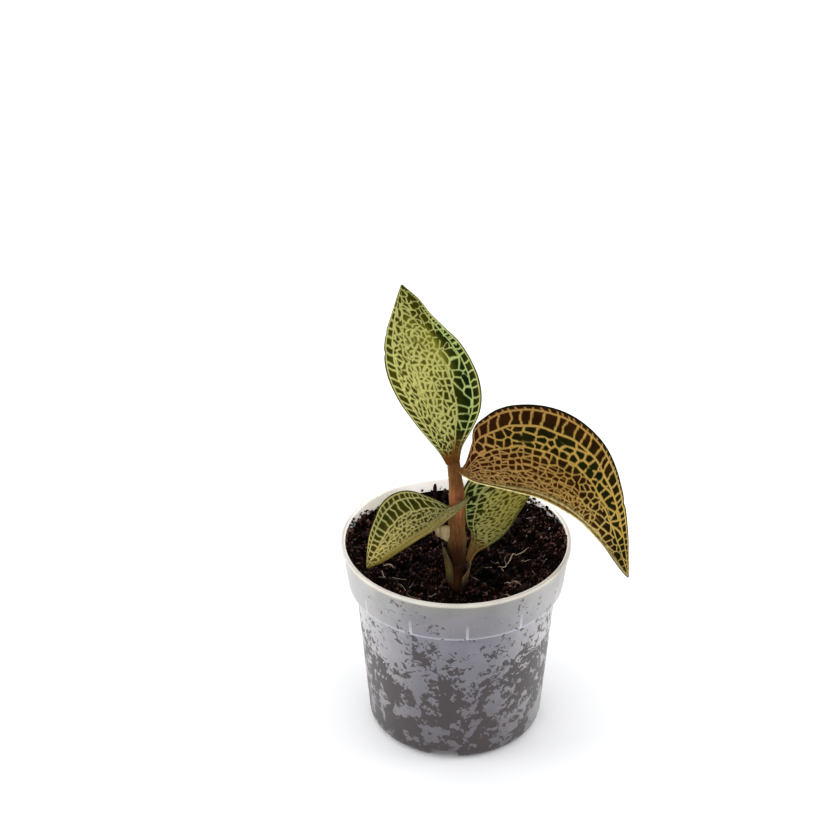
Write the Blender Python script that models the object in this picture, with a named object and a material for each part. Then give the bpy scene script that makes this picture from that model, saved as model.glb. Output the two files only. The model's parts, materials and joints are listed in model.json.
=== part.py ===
"""Potted jewel orchid: a young orchid with netted leaves in a thin frosted nursery pot.

Lengths are metres, +Z is up, and the origin is the centre of the pot's underside.
Everything rests in the pot, so nothing here moves.
"""
import math

import bmesh
import bpy
import numpy as np

MM = 0.001
GAP = 0.3 * MM                   # clearance between neighbouring pieces

# Pot: a thin-walled tapered cup with a wider collar, of the usual 6.5 cm size
POT_HEIGHT = 59.5 * MM
LIP_RADIUS = 32.5 * MM
LIP_DEPTH = 1.5 * MM
LIP_ROUNDING = 0.4 * MM
LIP_WIDTH = 1.2 * MM
COLLAR_TOP_RADIUS = 32.0 * MM
COLLAR_FOOT_RADIUS = 30.5 * MM
SHOULDER_HEIGHT = 46.1 * MM      # the underside of the collar
BODY_TOP_RADIUS = 28.5 * MM
BODY_FOOT_RADIUS = 24.5 * MM
FOOT_ROUNDING = 2.4 * MM
SHOULDER_ROUNDING = 0.5 * MM
WALL = 0.7 * MM
FLOOR = 0.9 * MM
POT_SEGMENTS = 72

# Four drain channels under the floor, each with one hole into the soil
CHANNEL_COUNT = 4
CHANNEL_TURN = math.radians(-8.1)    # the front channel sits a little left of the front
CHANNEL_WIDTH = 8.0 * MM
CHANNEL_HEIGHT = 2.7 * MM
CHANNEL_INNER_END = 13.5 * MM
DRAIN_HOLE_RADIUS = 2.0 * MM
DRAIN_HOLE_PLACE = 18.5 * MM

# Gussets inside the collar that keep stacked pots from jamming
GUSSET_COUNT = 12
GUSSET_TURN = math.radians(-24.7)
GUSSET_HEIGHT = 5.5 * MM
GUSSET_REACH = 1.7 * MM
GUSSET_WIDTH = 0.8 * MM

# Soil: heaped against the wall at both sides and lower at the back
SOIL_HEIGHT = 54.6 * MM
SOIL_HEAP_MEAN = 1.7             # mm at the wall
SOIL_HEAP_SWING = 2.5            # mm up or down from that mean, round the wall
SOIL_HEAP_TURN = math.radians(25.0)
SOIL_HEAP_REACH = 30.0           # mm from the pot's axis
MOUND_PLACE = (0.0, -16.0)       # mm, where the stem stands
MOUND_HEIGHT = 0.9               # mm
MOUND_SPREAD = 60.0              # mm squared
SOIL_WAVES = [                   # height in mm, waves along x and y in radians per mm, phase
    (0.175, 0.55, 0.48, 0.9),
    (0.175, 0.55, -0.48, 1.7),
    (0.25, 0.93, -0.71, 0.6),
    (0.18, 1.21, 0.87, math.pi / 2),
]
SOIL_RINGS = [3.5, 7.0, 10.5, 14.0, 17.5, 21.0, 24.5, 27.5]    # mm from the axis
SOIL_SEGMENTS = 48
SOIL_FOOT_ROUNDING = 0.6 * MM

# Stem: from the rhizome in the soil up to the stalk of the top leaf
STEM_PATH = [(2.2, -9.5, 45.0), (0.9, -14.0, 48.5), (0.1, -16.4, 54.0), (-0.1, -16.1, 62.0),
             (0.0, -15.2, 75.0), (-0.3, -14.5, 85.0), (-1.0, -14.0, 93.6)]
STEM_RADII = [1.6, 2.4, 2.7, 2.6, 2.45, 2.25, 1.9]
SOCKET_OVERRUN = (-0.12, 0.29, -0.22)    # the socket's blind end, past the rhizome's tip, mm

# Roots: from the rhizome down into the mix; the first point touches the rhizome's side
ROOTS = {
    "root_right": [(4.4, -9.6, 45.6), (8.5, -4.5, 41.0), (12.5, 3.0, 33.0), (13.5, 9.0, 23.0)],
    "root_left": [(-1.9, -13.2, 47.0), (-7.5, -9.0, 41.5), (-12.0, -2.0, 33.0), (-12.5, 3.0, 25.0)],
    "root_middle": [(3.2, -7.6, 43.2), (4.0, -2.0, 37.0), (1.5, 6.0, 29.0), (-1.0, 9.0, 19.0)],
}
ROOT_RADII = [1.1, 1.0, 0.85, 0.6]
ROOT_START_INSIDE = 1.6          # how far the root's hole runs back into the stem's hole, mm

# Fine roots that lie on the soil: (x, y) of each point along them, mm
SURFACE_ROOTS = {
    "surface_root_long": [(11.8, -7.1), (14.0, -6.2), (15.7, -3.2), (17.5, -0.6), (19.2, 0.2),
                          (20.6, 1.4)],
    "surface_root_front": [(13.3, -14.5), (14.9, -15.5), (16.6, -16.0), (18.8, -15.5)],
    "surface_root_left": [(-20.5, -8.6), (-19.0, -8.7), (-17.6, -9.6)],
    "surface_root_small": [(-20.9, -11.4), (-20.5, -12.8), (-19.8, -14.2)],
}
SURFACE_ROOT_RADIUS = 0.28       # mm
SOIL_CLEARANCE = 0.45            # loose bits sit this far above the mix's facets, mm
CHIP_SQUARENESS = 0.7            # 1 is an ellipsoid, 0 a block
CHIP_ROUGHNESS = (0.88, 1.06)    # each corner's distance from the middle, against the smooth shape

# Loose bits on the soil: (x, y, length, width, height, turn in degrees, tilt in degrees), mm
BARK_CHIPS = {
    "bark_chip_right": (24.2, 4.8, 3.6, 1.8, 1.1, 5.0, 12.0),
    "bark_chip_back": (17.5, 13.0, 3.4, 2.4, 1.6, 70.0, -6.0),
    "bark_chip_left": (-25.0, 4.5, 3.8, 2.6, 1.7, -35.0, 12.0),
    "bark_chip_front": (18.5, -19.5, 3.6, 2.2, 1.3, 50.0, 5.0),
    "bark_chip_corner": (-20.5, 15.5, 3.2, 2.5, 1.6, 20.0, 12.0),
}
BARK_SLIVERS = {
    "bark_sliver_tall": (-5.9, 27.9, 5.4, 1.2, 0.9, 80.0, 76.0),
    "bark_sliver_short": (-3.2, 27.6, 3.8, 1.4, 1.0, 60.0, 62.0),
    "bark_sliver_side": (-26.2, 12.0, 3.0, 1.1, 0.9, 150.0, 60.0),
}
PERLITE_GRAINS = {
    "perlite_grain_back": (24.6, 17.2, 1.9, 1.4, 1.1, 40.0, 0.0),
    "perlite_grain_near": (21.8, 19.2, 1.4, 1.1, 0.9, 10.0, 0.0),
    "perlite_grain_side": (26.6, 8.6, 1.5, 1.2, 1.0, 75.0, 0.0),
}

# Dry sheaths: low and high edge, inner radius at the foot, flare, and start and end turn in degrees
SHEATHS = {
    "sheath_left": (56.6, 68.0, 3.3, 1.1, 120.0, 262.0),
    "sheath_right": (56.8, 60.4, 3.3, 0.5, -75.0, 60.0),
    "sheath_torn": (70.4, 74.6, 3.0, 3.2, 165.0, 225.0),
}
SHEATH_THICKNESS = 0.35 * MM
SHEATH_DIP = 0.35                # how much lower the top edge is at its two ends
SHEATH_FLARE_POWER = 1.5         # the sheath opens more towards its top


def clear_scene():
    """Start from an empty scene."""
    for thing in list(bpy.data.objects):
        bpy.data.objects.remove(thing, do_unlink=True)


def material(name, colour, roughness, transmission=0.0):
    """A Principled material; nothing on a plant or its pot is metal."""
    made = bpy.data.materials.new(name)
    made.use_nodes = True
    shader = made.node_tree.nodes["Principled BSDF"]
    shader.inputs["Base Color"].default_value = (*colour, 1.0)
    shader.inputs["Roughness"].default_value = roughness
    shader.inputs["Metallic"].default_value = 0.0
    shader.inputs["Transmission Weight"].default_value = transmission
    made.diffuse_color = (*colour, 1.0)
    return made


def add_object(name, mesh_data, finish, sharp_angle=40.0):
    """Turn a finished bmesh into a named, smooth-shaded object at the origin."""
    bmesh.ops.recalc_face_normals(mesh_data, faces=mesh_data.faces)
    if mesh_data.calc_volume(signed=True) < 0.0:
        bmesh.ops.reverse_faces(mesh_data, faces=mesh_data.faces)
    mesh = bpy.data.meshes.new(name)
    mesh_data.to_mesh(mesh)
    mesh_data.free()
    mesh.shade_smooth()
    mesh.set_sharp_from_angle(angle=math.radians(sharp_angle))
    thing = bpy.data.objects.new(name, mesh)
    bpy.context.scene.collection.objects.link(thing)
    if finish is not None:
        mesh.materials.append(finish)
    return thing


def as_cutter(thing):
    """Hide a tool object, so that only its effect on its neighbour shows."""
    thing.display_type = "WIRE"
    thing.hide_render = True
    return thing


def boolean(thing, cutter, operation):
    """Union with or subtract a hidden tool object."""
    change = thing.modifiers.new(f"{operation.lower()}_{cutter.name}", "BOOLEAN")
    change.operation = operation
    change.solver = "EXACT"
    change.object = as_cutter(cutter)


# ---------------------------------------------------------------- curves and solids

def smooth_curve(knots, values, where):
    """Read a smooth curve through the given values, one for each knot, at any places."""
    knots = np.asarray(knots, float)
    values = np.asarray(values, float).reshape(len(knots), -1)
    slopes = np.gradient(values, knots, axis=0)
    where = np.clip(np.atleast_1d(where), knots[0], knots[-1])
    cell = np.clip(np.searchsorted(knots, where, side="right") - 1, 0, len(knots) - 2)
    span = (knots[cell + 1] - knots[cell])[:, None]
    f = (where - knots[cell])[:, None] / span
    start, end = values[cell], values[cell + 1]
    return ((2 * f**3 - 3 * f**2 + 1) * start + (f**3 - 2 * f**2 + f) * span * slopes[cell]
            + (-2 * f**3 + 3 * f**2) * end + (f**3 - f**2) * span * slopes[cell + 1])


def along_path(points, where):
    """Points on a smooth curve through a path's points, by fraction of its length."""
    points = np.asarray(points, float)
    steps = np.linalg.norm(np.diff(points, axis=0), axis=1)
    knots = np.concatenate([[0.0], np.cumsum(steps)]) / steps.sum()
    return smooth_curve(knots, points, where)


def unit(vectors):
    """Scale vectors to length one."""
    return vectors / np.maximum(np.linalg.norm(vectors, axis=-1, keepdims=True), 1e-12)


def lathe(profile, segments):
    """Turn a profile of (radius, height) about Z; a radius of zero is a point on the axis."""
    mesh_data = bmesh.new()
    rings = []
    for radius, height in profile:
        if radius == 0.0:
            rings.append([mesh_data.verts.new((0.0, 0.0, height))])
            continue
        angles = [2 * math.pi * k / segments for k in range(segments)]
        rings.append([mesh_data.verts.new((radius * math.cos(a), radius * math.sin(a), height))
                      for a in angles])
    for low, high in zip(rings, rings[1:]):
        for k in range(segments):
            corners = {low[k % len(low)]: None, low[(k + 1) % len(low)]: None,
                       high[(k + 1) % len(high)]: None, high[k % len(high)]: None}
            mesh_data.faces.new(list(corners))
    return mesh_data


def tube(points, radii, sides, rings):
    """A closed tube along a smooth curve, with a flat cap at each end; points are in mm."""
    where = np.linspace(0.0, 1.0, rings)
    centres = along_path(points, where) * MM
    radius = smooth_curve(np.linspace(0.0, 1.0, len(radii)), radii, where)[:, 0] * MM
    heading = unit(np.gradient(centres, axis=0))
    side = np.cross(heading[0], (0.0, 1.0, 0.0) if abs(heading[0][1]) < 0.9 else (1.0, 0.0, 0.0))
    mesh_data = bmesh.new()
    loops = []
    for centre, r, forward in zip(centres, radius, heading):
        side = unit(side - forward * np.dot(side, forward))
        across = np.cross(forward, side)
        turn = np.arange(sides) * 2 * math.pi / sides
        ring = centre + r * (np.outer(np.cos(turn), side) + np.outer(np.sin(turn), across))
        loops.append([mesh_data.verts.new(p) for p in ring])
    for low, high in zip(loops, loops[1:]):
        for k in range(sides):
            mesh_data.faces.new((low[k], low[(k + 1) % sides], high[(k + 1) % sides], high[k]))
    mesh_data.faces.new(loops[0])
    mesh_data.faces.new(loops[-1])
    return mesh_data


def sheet_solid(surface, thickness):
    """Give a grid of points a thickness, closing it round its edge into one solid."""
    along = np.gradient(surface, axis=0)
    across = np.gradient(surface, axis=1)
    normal = unit(np.cross(across, along))
    half = thickness[..., None] / 2
    mesh_data = bmesh.new()
    rows, columns = surface.shape[:2]
    top, bottom = (
        [[mesh_data.verts.new(point) for point in row] for row in face]
        for face in (surface + normal * half, surface - normal * half))
    for i in range(rows - 1):
        for j in range(columns - 1):
            mesh_data.faces.new((top[i][j], top[i][j + 1], top[i + 1][j + 1], top[i + 1][j]))
            mesh_data.faces.new((bottom[i][j], bottom[i + 1][j], bottom[i + 1][j + 1],
                                 bottom[i][j + 1]))
    for i in range(rows - 1):
        for j in (0, columns - 1):
            mesh_data.faces.new((top[i][j], top[i + 1][j], bottom[i + 1][j], bottom[i][j]))
    for j in range(columns - 1):
        for i in (0, rows - 1):
            mesh_data.faces.new((top[i][j], top[i][j + 1], bottom[i][j + 1], bottom[i][j]))
    return mesh_data


def box(low, high, turn=0.0):
    """A closed box, turned about Z."""
    mesh_data = bmesh.new()
    bmesh.ops.create_cube(mesh_data, size=1.0)
    for vert in mesh_data.verts:
        x, y, z = (lo + (hi - lo) * (c + 0.5) for lo, hi, c in zip(low, high, vert.co))
        vert.co = (x * math.cos(turn) - y * math.sin(turn), x * math.sin(turn) + y * math.cos(turn), z)
    return mesh_data


def joined(parts):
    """Put several closed shapes that don't touch into one bmesh."""
    whole = bmesh.new()
    for part in parts:
        shape = bpy.data.meshes.new("part_of_a_tool")
        part.to_mesh(shape)
        part.free()
        whole.from_mesh(shape)
        bpy.data.meshes.remove(shape)
    return whole


# ---------------------------------------------------------------- pot

def body_radius(height):
    """Outer radius of the pot's tapered body."""
    fraction = height / SHOULDER_HEIGHT
    return BODY_FOOT_RADIUS + (BODY_TOP_RADIUS - BODY_FOOT_RADIUS) * fraction


def collar_radius(height):
    """Outer radius of the collar above the shoulder."""
    fraction = (height - SHOULDER_HEIGHT) / (POT_HEIGHT - LIP_DEPTH - SHOULDER_HEIGHT)
    return COLLAR_FOOT_RADIUS + (COLLAR_TOP_RADIUS - COLLAR_FOOT_RADIUS) * min(fraction, 1.0)


def foot_arc(radius, rounding, height):
    """The rounded corner between the pot's floor and its body, from the floor outwards."""
    angles = [math.radians(a) for a in (-90, -60, -30, 0)]
    return [(radius - rounding + rounding * math.cos(a), height + rounding + rounding * math.sin(a))
            for a in angles]


def pot_profile():
    """Right half of the pot's section: up the outside, over the lip and down the inside."""
    outside = [(0.0, 0.0)]
    outside += foot_arc(body_radius(FOOT_ROUNDING), FOOT_ROUNDING, 0.0)
    outside += [(body_radius(SHOULDER_HEIGHT * 0.5), SHOULDER_HEIGHT * 0.5),
                (BODY_TOP_RADIUS, SHOULDER_HEIGHT - SHOULDER_ROUNDING),
                (BODY_TOP_RADIUS + SHOULDER_ROUNDING, SHOULDER_HEIGHT),
                (COLLAR_FOOT_RADIUS - SHOULDER_ROUNDING, SHOULDER_HEIGHT),
                (COLLAR_FOOT_RADIUS, SHOULDER_HEIGHT + SHOULDER_ROUNDING)]
    neck = POT_HEIGHT - LIP_DEPTH
    lip = [(collar_radius(neck), neck), (LIP_RADIUS, neck + LIP_ROUNDING),
           (LIP_RADIUS, POT_HEIGHT - LIP_ROUNDING), (LIP_RADIUS - LIP_ROUNDING, POT_HEIGHT),
           (LIP_RADIUS - LIP_WIDTH + LIP_ROUNDING, POT_HEIGHT),
           (LIP_RADIUS - LIP_WIDTH, POT_HEIGHT - LIP_ROUNDING)]
    ledge = SHOULDER_HEIGHT + WALL
    inside = [(collar_radius(ledge) - WALL, ledge), (BODY_TOP_RADIUS - WALL, ledge)]
    inside += reversed(foot_arc(body_radius(FOOT_ROUNDING) - WALL, FOOT_ROUNDING - WALL, FLOOR))
    inside += [(0.0, FLOOR)]
    return outside + lip + inside


def channel_turns():
    """The direction of each drain channel."""
    front = math.radians(-90.0) + CHANNEL_TURN
    return [front + k * 2 * math.pi / CHANNEL_COUNT for k in range(CHANNEL_COUNT)]


def channel_roofs(grow):
    """Raised blocks on the pot's floor that roof the drain channels."""
    side = CHANNEL_WIDTH / 2 + WALL + grow
    low = (CHANNEL_INNER_END - WALL - grow, -side, FLOOR * 0.5)
    high = (BODY_FOOT_RADIUS - WALL * 0.5 + grow, side, CHANNEL_HEIGHT + FLOOR + grow)
    return joined([box(low, high, turn) for turn in channel_turns()])


def channel_cuts():
    """The channels themselves, open below and through the foot of the wall."""
    side = CHANNEL_WIDTH / 2
    low = (CHANNEL_INNER_END, -side, -1.0 * MM)
    high = (LIP_RADIUS, side, CHANNEL_HEIGHT)
    return joined([box(low, high, turn) for turn in channel_turns()])


def drain_holes():
    """One round hole in the roof of each channel."""
    holes = []
    for turn in channel_turns():
        hole = bmesh.new()
        bmesh.ops.create_cone(hole, cap_ends=True, segments=16, radius1=DRAIN_HOLE_RADIUS,
                              radius2=DRAIN_HOLE_RADIUS, depth=4.0 * MM)
        centre = (DRAIN_HOLE_PLACE * math.cos(turn), DRAIN_HOLE_PLACE * math.sin(turn), 2.0 * MM)
        bmesh.ops.translate(hole, vec=centre, verts=hole.verts)
        holes.append(hole)
    return joined(holes)


def gussets(grow):
    """Small three-cornered ribs that stand on the ledge inside the collar."""
    ledge = SHOULDER_HEIGHT + WALL * 0.5 - grow
    foot = collar_radius(ledge) - WALL * 0.5
    top = ledge + WALL * 0.5 + GUSSET_HEIGHT + 2 * grow
    corners = [(foot, ledge), (collar_radius(top) - WALL * 0.5, top),
               (foot - GUSSET_REACH - grow, ledge)]
    ribs = []
    for k in range(GUSSET_COUNT):
        turn = math.radians(-90.0) + GUSSET_TURN + k * 2 * math.pi / GUSSET_COUNT
        outward = np.array([math.cos(turn), math.sin(turn), 0.0])
        across = np.array([-math.sin(turn), math.cos(turn), 0.0]) * (GUSSET_WIDTH / 2 + grow)
        rib = bmesh.new()
        faces = [[rib.verts.new(outward * r + across * side + (0.0, 0.0, z)) for r, z in corners]
                 for side in (-1.0, 1.0)]
        rib.faces.new(faces[0])
        rib.faces.new(reversed(faces[1]))
        for a in range(3):
            b = (a + 1) % 3
            rib.faces.new((faces[0][b], faces[0][a], faces[1][a], faces[1][b]))
        bmesh.ops.recalc_face_normals(rib, faces=rib.faces)
        ribs.append(rib)
    return joined(ribs)


def make_pot():
    """The nursery pot, one moulding."""
    plastic = material("frosted_polypropylene", (0.62, 0.61, 0.64), 0.42, 0.2)
    pot = add_object("pot", lathe(pot_profile(), POT_SEGMENTS), plastic)
    boolean(pot, add_object("tool_channel_roofs", channel_roofs(0.0), None), "UNION")
    boolean(pot, add_object("tool_gussets", gussets(0.0), None), "UNION")
    boolean(pot, add_object("tool_channels", channel_cuts(), None), "DIFFERENCE")
    boolean(pot, add_object("tool_drain_holes", drain_holes(), None), "DIFFERENCE")


# ---------------------------------------------------------------- soil

def soil_height(x, y):
    """Height of the soil: a low mound round the stem, and heaps by the wall at both sides."""
    x, y = x / MM, y / MM
    side = np.cos(2.0 * np.arctan2(y, x) - SOIL_HEAP_TURN)
    out = (x**2 + y**2) / SOIL_HEAP_REACH**2
    heap = (SOIL_HEAP_MEAN + SOIL_HEAP_SWING * side) * out**2
    from_stem = (x - MOUND_PLACE[0])**2 + (y - MOUND_PLACE[1])**2
    mound = MOUND_HEIGHT * np.exp(-from_stem / MOUND_SPREAD)
    bumps = sum(high * np.sin(along_x * x + along_y * y + phase)
                for high, along_x, along_y, phase in SOIL_WAVES)
    return SOIL_HEIGHT + (heap + mound + bumps) * MM


def make_soil():
    """The potting mix, filling the pot to just under the rim and open where the plant stands."""
    mesh_data = bmesh.new()
    turns = np.arange(SOIL_SEGMENTS) * 2 * math.pi / SOIL_SEGMENTS
    middle = mesh_data.verts.new((0.0, 0.0, float(soil_height(0.0, 0.0))))
    rings = []
    for radius in SOIL_RINGS:
        x, y = radius * MM * np.cos(turns), radius * MM * np.sin(turns)
        rings.append([mesh_data.verts.new(p) for p in zip(x, y, soil_height(x, y))])
    wall_side = []
    reach = SOIL_HEAP_REACH * MM
    for turn in turns:
        height = float(soil_height(reach * math.cos(turn), reach * math.sin(turn)))
        radius = collar_radius(height) - WALL - GAP
        wall_side.append(mesh_data.verts.new((radius * math.cos(turn), radius * math.sin(turn), height)))
    rings.append(wall_side)
    ledge = SHOULDER_HEIGHT + WALL + GAP
    low = FLOOR + GAP
    corner = body_radius(FOOT_ROUNDING) - WALL - GAP
    below = [(collar_radius(ledge) - WALL - GAP, ledge), (BODY_TOP_RADIUS - WALL - GAP, ledge),
             (corner, FOOT_ROUNDING + SOIL_FOOT_ROUNDING),
             (corner - SOIL_FOOT_ROUNDING, low + SOIL_FOOT_ROUNDING / 2),
             (corner - 2 * SOIL_FOOT_ROUNDING, low)]
    for radius, height in below:
        rings.append([mesh_data.verts.new((radius * math.cos(a), radius * math.sin(a), height))
                      for a in turns])
    under = mesh_data.verts.new((0.0, 0.0, low))
    for k in range(SOIL_SEGMENTS):
        after = (k + 1) % SOIL_SEGMENTS
        mesh_data.faces.new((middle, rings[0][k], rings[0][after]))
        mesh_data.faces.new((under, rings[-1][after], rings[-1][k]))
        for upper, lower in zip(rings, rings[1:]):
            mesh_data.faces.new((upper[k], lower[k], lower[after], upper[after]))
    mix = material("bark_and_coir_mix", (0.035, 0.018, 0.012), 0.95)
    soil = add_object("soil", mesh_data, mix)
    boolean(soil, add_object("tool_roof_pockets", channel_roofs(GAP), None), "DIFFERENCE")
    boolean(soil, add_object("tool_gusset_slots", gussets(GAP), None), "DIFFERENCE")
    return soil


# ---------------------------------------------------------------- stem and roots

def cut_socket(soil, name, path, radii, sides, rings):
    """Open a hole in the soil round a buried piece, with the usual clearance."""
    wider = [radius + GAP / MM for radius in radii]
    boolean(soil, add_object(f"tool_{name}_socket", tube(path, wider, sides, rings), None),
            "DIFFERENCE")


def make_stem(soil):
    """The fleshy stem; its buried end is the rhizome that the roots grow from."""
    flesh = material("stem_flesh", (0.26, 0.13, 0.07), 0.5)
    add_object("stem", tube(STEM_PATH, STEM_RADII, 16, 22), flesh)
    blind_end = tuple(np.array(STEM_PATH[0]) + SOCKET_OVERRUN)
    cut_socket(soil, "stem", [blind_end] + STEM_PATH[1:], STEM_RADII, 16, 22)


def make_roots(soil):
    """Thick buried roots, each in a hole that starts inside the stem's own."""
    skin = material("root_skin", (0.45, 0.36, 0.25), 0.7)
    for name, path in ROOTS.items():
        add_object(name, tube(path, ROOT_RADII, 8, 9), skin)
        points = np.array(path)
        back = points[0] - unit(points[1] - points[0]) * ROOT_START_INSIDE
        past_tip = points[-1] + unit(points[-1] - points[-2]) * GAP / MM
        cut_socket(soil, name, [tuple(back)] + path[1:-1] + [tuple(past_tip)], ROOT_RADII, 8, 9)


def make_surface_roots():
    """Fine pale roots lying on the mix."""
    skin = material("fine_root_skin", (0.55, 0.47, 0.38), 0.7)
    for name, line in SURFACE_ROOTS.items():
        path = []
        for x, y in line:
            height = float(soil_height(x * MM, y * MM)) / MM
            path.append((x, y, height + SOIL_CLEARANCE + SURFACE_ROOT_RADIUS))
        radii = [SURFACE_ROOT_RADIUS * 0.7, SURFACE_ROOT_RADIUS, SURFACE_ROOT_RADIUS * 0.6]
        add_object(name, tube(path, radii, 6, 3 * len(path)), skin)


# ---------------------------------------------------------------- loose bits on the soil

def rough_bit(x, y, length, width, height, turn, tilt, seed):
    """A chipped lump, set down so that its lowest corner just clears the soil; sizes in mm."""
    random = np.random.default_rng(seed)
    mesh_data = bmesh.new()
    bmesh.ops.create_icosphere(mesh_data, subdivisions=2, radius=0.5)
    turn, tilt = math.radians(turn), math.radians(tilt)
    for vert in mesh_data.verts:
        corner = np.sign(vert.co) * np.abs(np.array(vert.co) * 2) ** CHIP_SQUARENESS * 0.5
        u, v, w = corner * (length, width, height) * random.uniform(*CHIP_ROUGHNESS)
        u, w = u * math.cos(tilt) - w * math.sin(tilt), u * math.sin(tilt) + w * math.cos(tilt)
        vert.co = (x + u * math.cos(turn) - v * math.sin(turn),
                   y + u * math.sin(turn) + v * math.cos(turn), w)
    lift = max(float(soil_height(v.co.x * MM, v.co.y * MM)) / MM - v.co.z for v in mesh_data.verts)
    for vert in mesh_data.verts:
        vert.co = (vert.co.x * MM, vert.co.y * MM, (vert.co.z + lift + SOIL_CLEARANCE) * MM)
    return mesh_data


def make_loose_bits():
    """Bark chips and upright slivers, and a few grains of perlite."""
    bark = material("pine_bark", (0.09, 0.04, 0.025), 0.9)
    perlite = material("perlite", (0.8, 0.78, 0.74), 0.95)
    for finish, bits in ((bark, BARK_CHIPS), (bark, BARK_SLIVERS), (perlite, PERLITE_GRAINS)):
        for number, (name, sizes) in enumerate(bits.items()):
            add_object(name, rough_bit(*sizes, seed=number), finish, 25.0)


# ---------------------------------------------------------------- sheaths at the foot of the stem

def stem_centre(height):
    """The middle of the stem at a height; both in mm."""
    where = np.linspace(0.3, 1.0, 141)
    line = along_path(STEM_PATH, where)
    return np.array([np.interp(height, line[:, 2], line[:, axis]) for axis in (0, 1)])


def sheath_surface(low, high, inner, flare, start, end, rows=9, columns=13):
    """Part of a funnel round the stem, from a low to a high edge; its top edge dips at both ends."""
    grid = np.zeros((rows, columns, 3))
    for j, turn in enumerate(np.radians(np.linspace(start, end, columns))):
        dip = 1.0 - SHEATH_DIP * (2.0 * j / (columns - 1) - 1.0) ** 2
        for i, rise in enumerate(np.linspace(0.0, 1.0, rows)):
            height = low + (high - low) * rise * dip
            x, y = stem_centre(height)
            radius = inner + flare * rise**SHEATH_FLARE_POWER
            grid[i, j] = (x + radius * math.cos(turn), y + radius * math.sin(turn), height)
    return grid * MM


def make_sheaths():
    """Dry papery sheaths: two round the foot of the stem and a torn pale one higher up."""
    paper = material("papery_sheath", (0.3, 0.25, 0.12), 0.6)
    pale = material("pale_papery_sheath", (0.55, 0.5, 0.4), 0.7)
    for name, shape in SHEATHS.items():
        grid = sheath_surface(*shape)
        thickness = np.full(grid.shape[:2], SHEATH_THICKNESS)
        finish = pale if name == "sheath_torn" else paper
        add_object(name, sheet_solid(grid, thickness), finish, 60.0)


# ---------------------------------------------------------------- leaves

def leaf_surface(leaf, rows, columns):
    """A grid of points over a leaf: rows run along the midrib, columns from edge to edge.

    The two halves rise from the midrib at a fold angle, curl towards their edges and may be
    swept back towards the stalk or forward towards the tip.
    """
    where = np.linspace(0.0, 1.0, rows)
    midrib = along_path(leaf["midrib"], where)
    heading = unit(np.gradient(midrib, axis=0))
    face = unit(smooth_curve(*zip(*leaf["face"]), where))
    face = unit(face - heading * np.sum(face * heading, axis=1, keepdims=True))
    right = np.cross(heading, face)
    steps = columns // 2
    grid = np.zeros((rows, columns, 3))
    grid[:, steps] = midrib
    for sign, half in ((-1, leaf["left"]), (1, leaf["right"])):
        width = smooth_curve(*zip(*half["width"]), where)[:, 0]
        fold = np.radians(smooth_curve(*zip(*half["fold"]), where)[:, 0])
        curl = np.radians(smooth_curve(*zip(*half["curl"]), where)[:, 0])
        sweep = np.radians(smooth_curve(*zip(*half["sweep"]), where)[:, 0])[:, None]
        point = midrib.copy()
        for step in range(1, steps + 1):
            angle = fold + curl * (step - 0.5) / steps
            out = sign * right * np.cos(angle)[:, None] + face * np.sin(angle)[:, None]
            out = out * np.cos(sweep) + heading * np.sin(sweep)
            point = point + out * (width / steps)[:, None]
            grid[:, steps + sign * step] = point
    return grid * MM


BLADE_THICKNESS = 0.5 * MM

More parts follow.
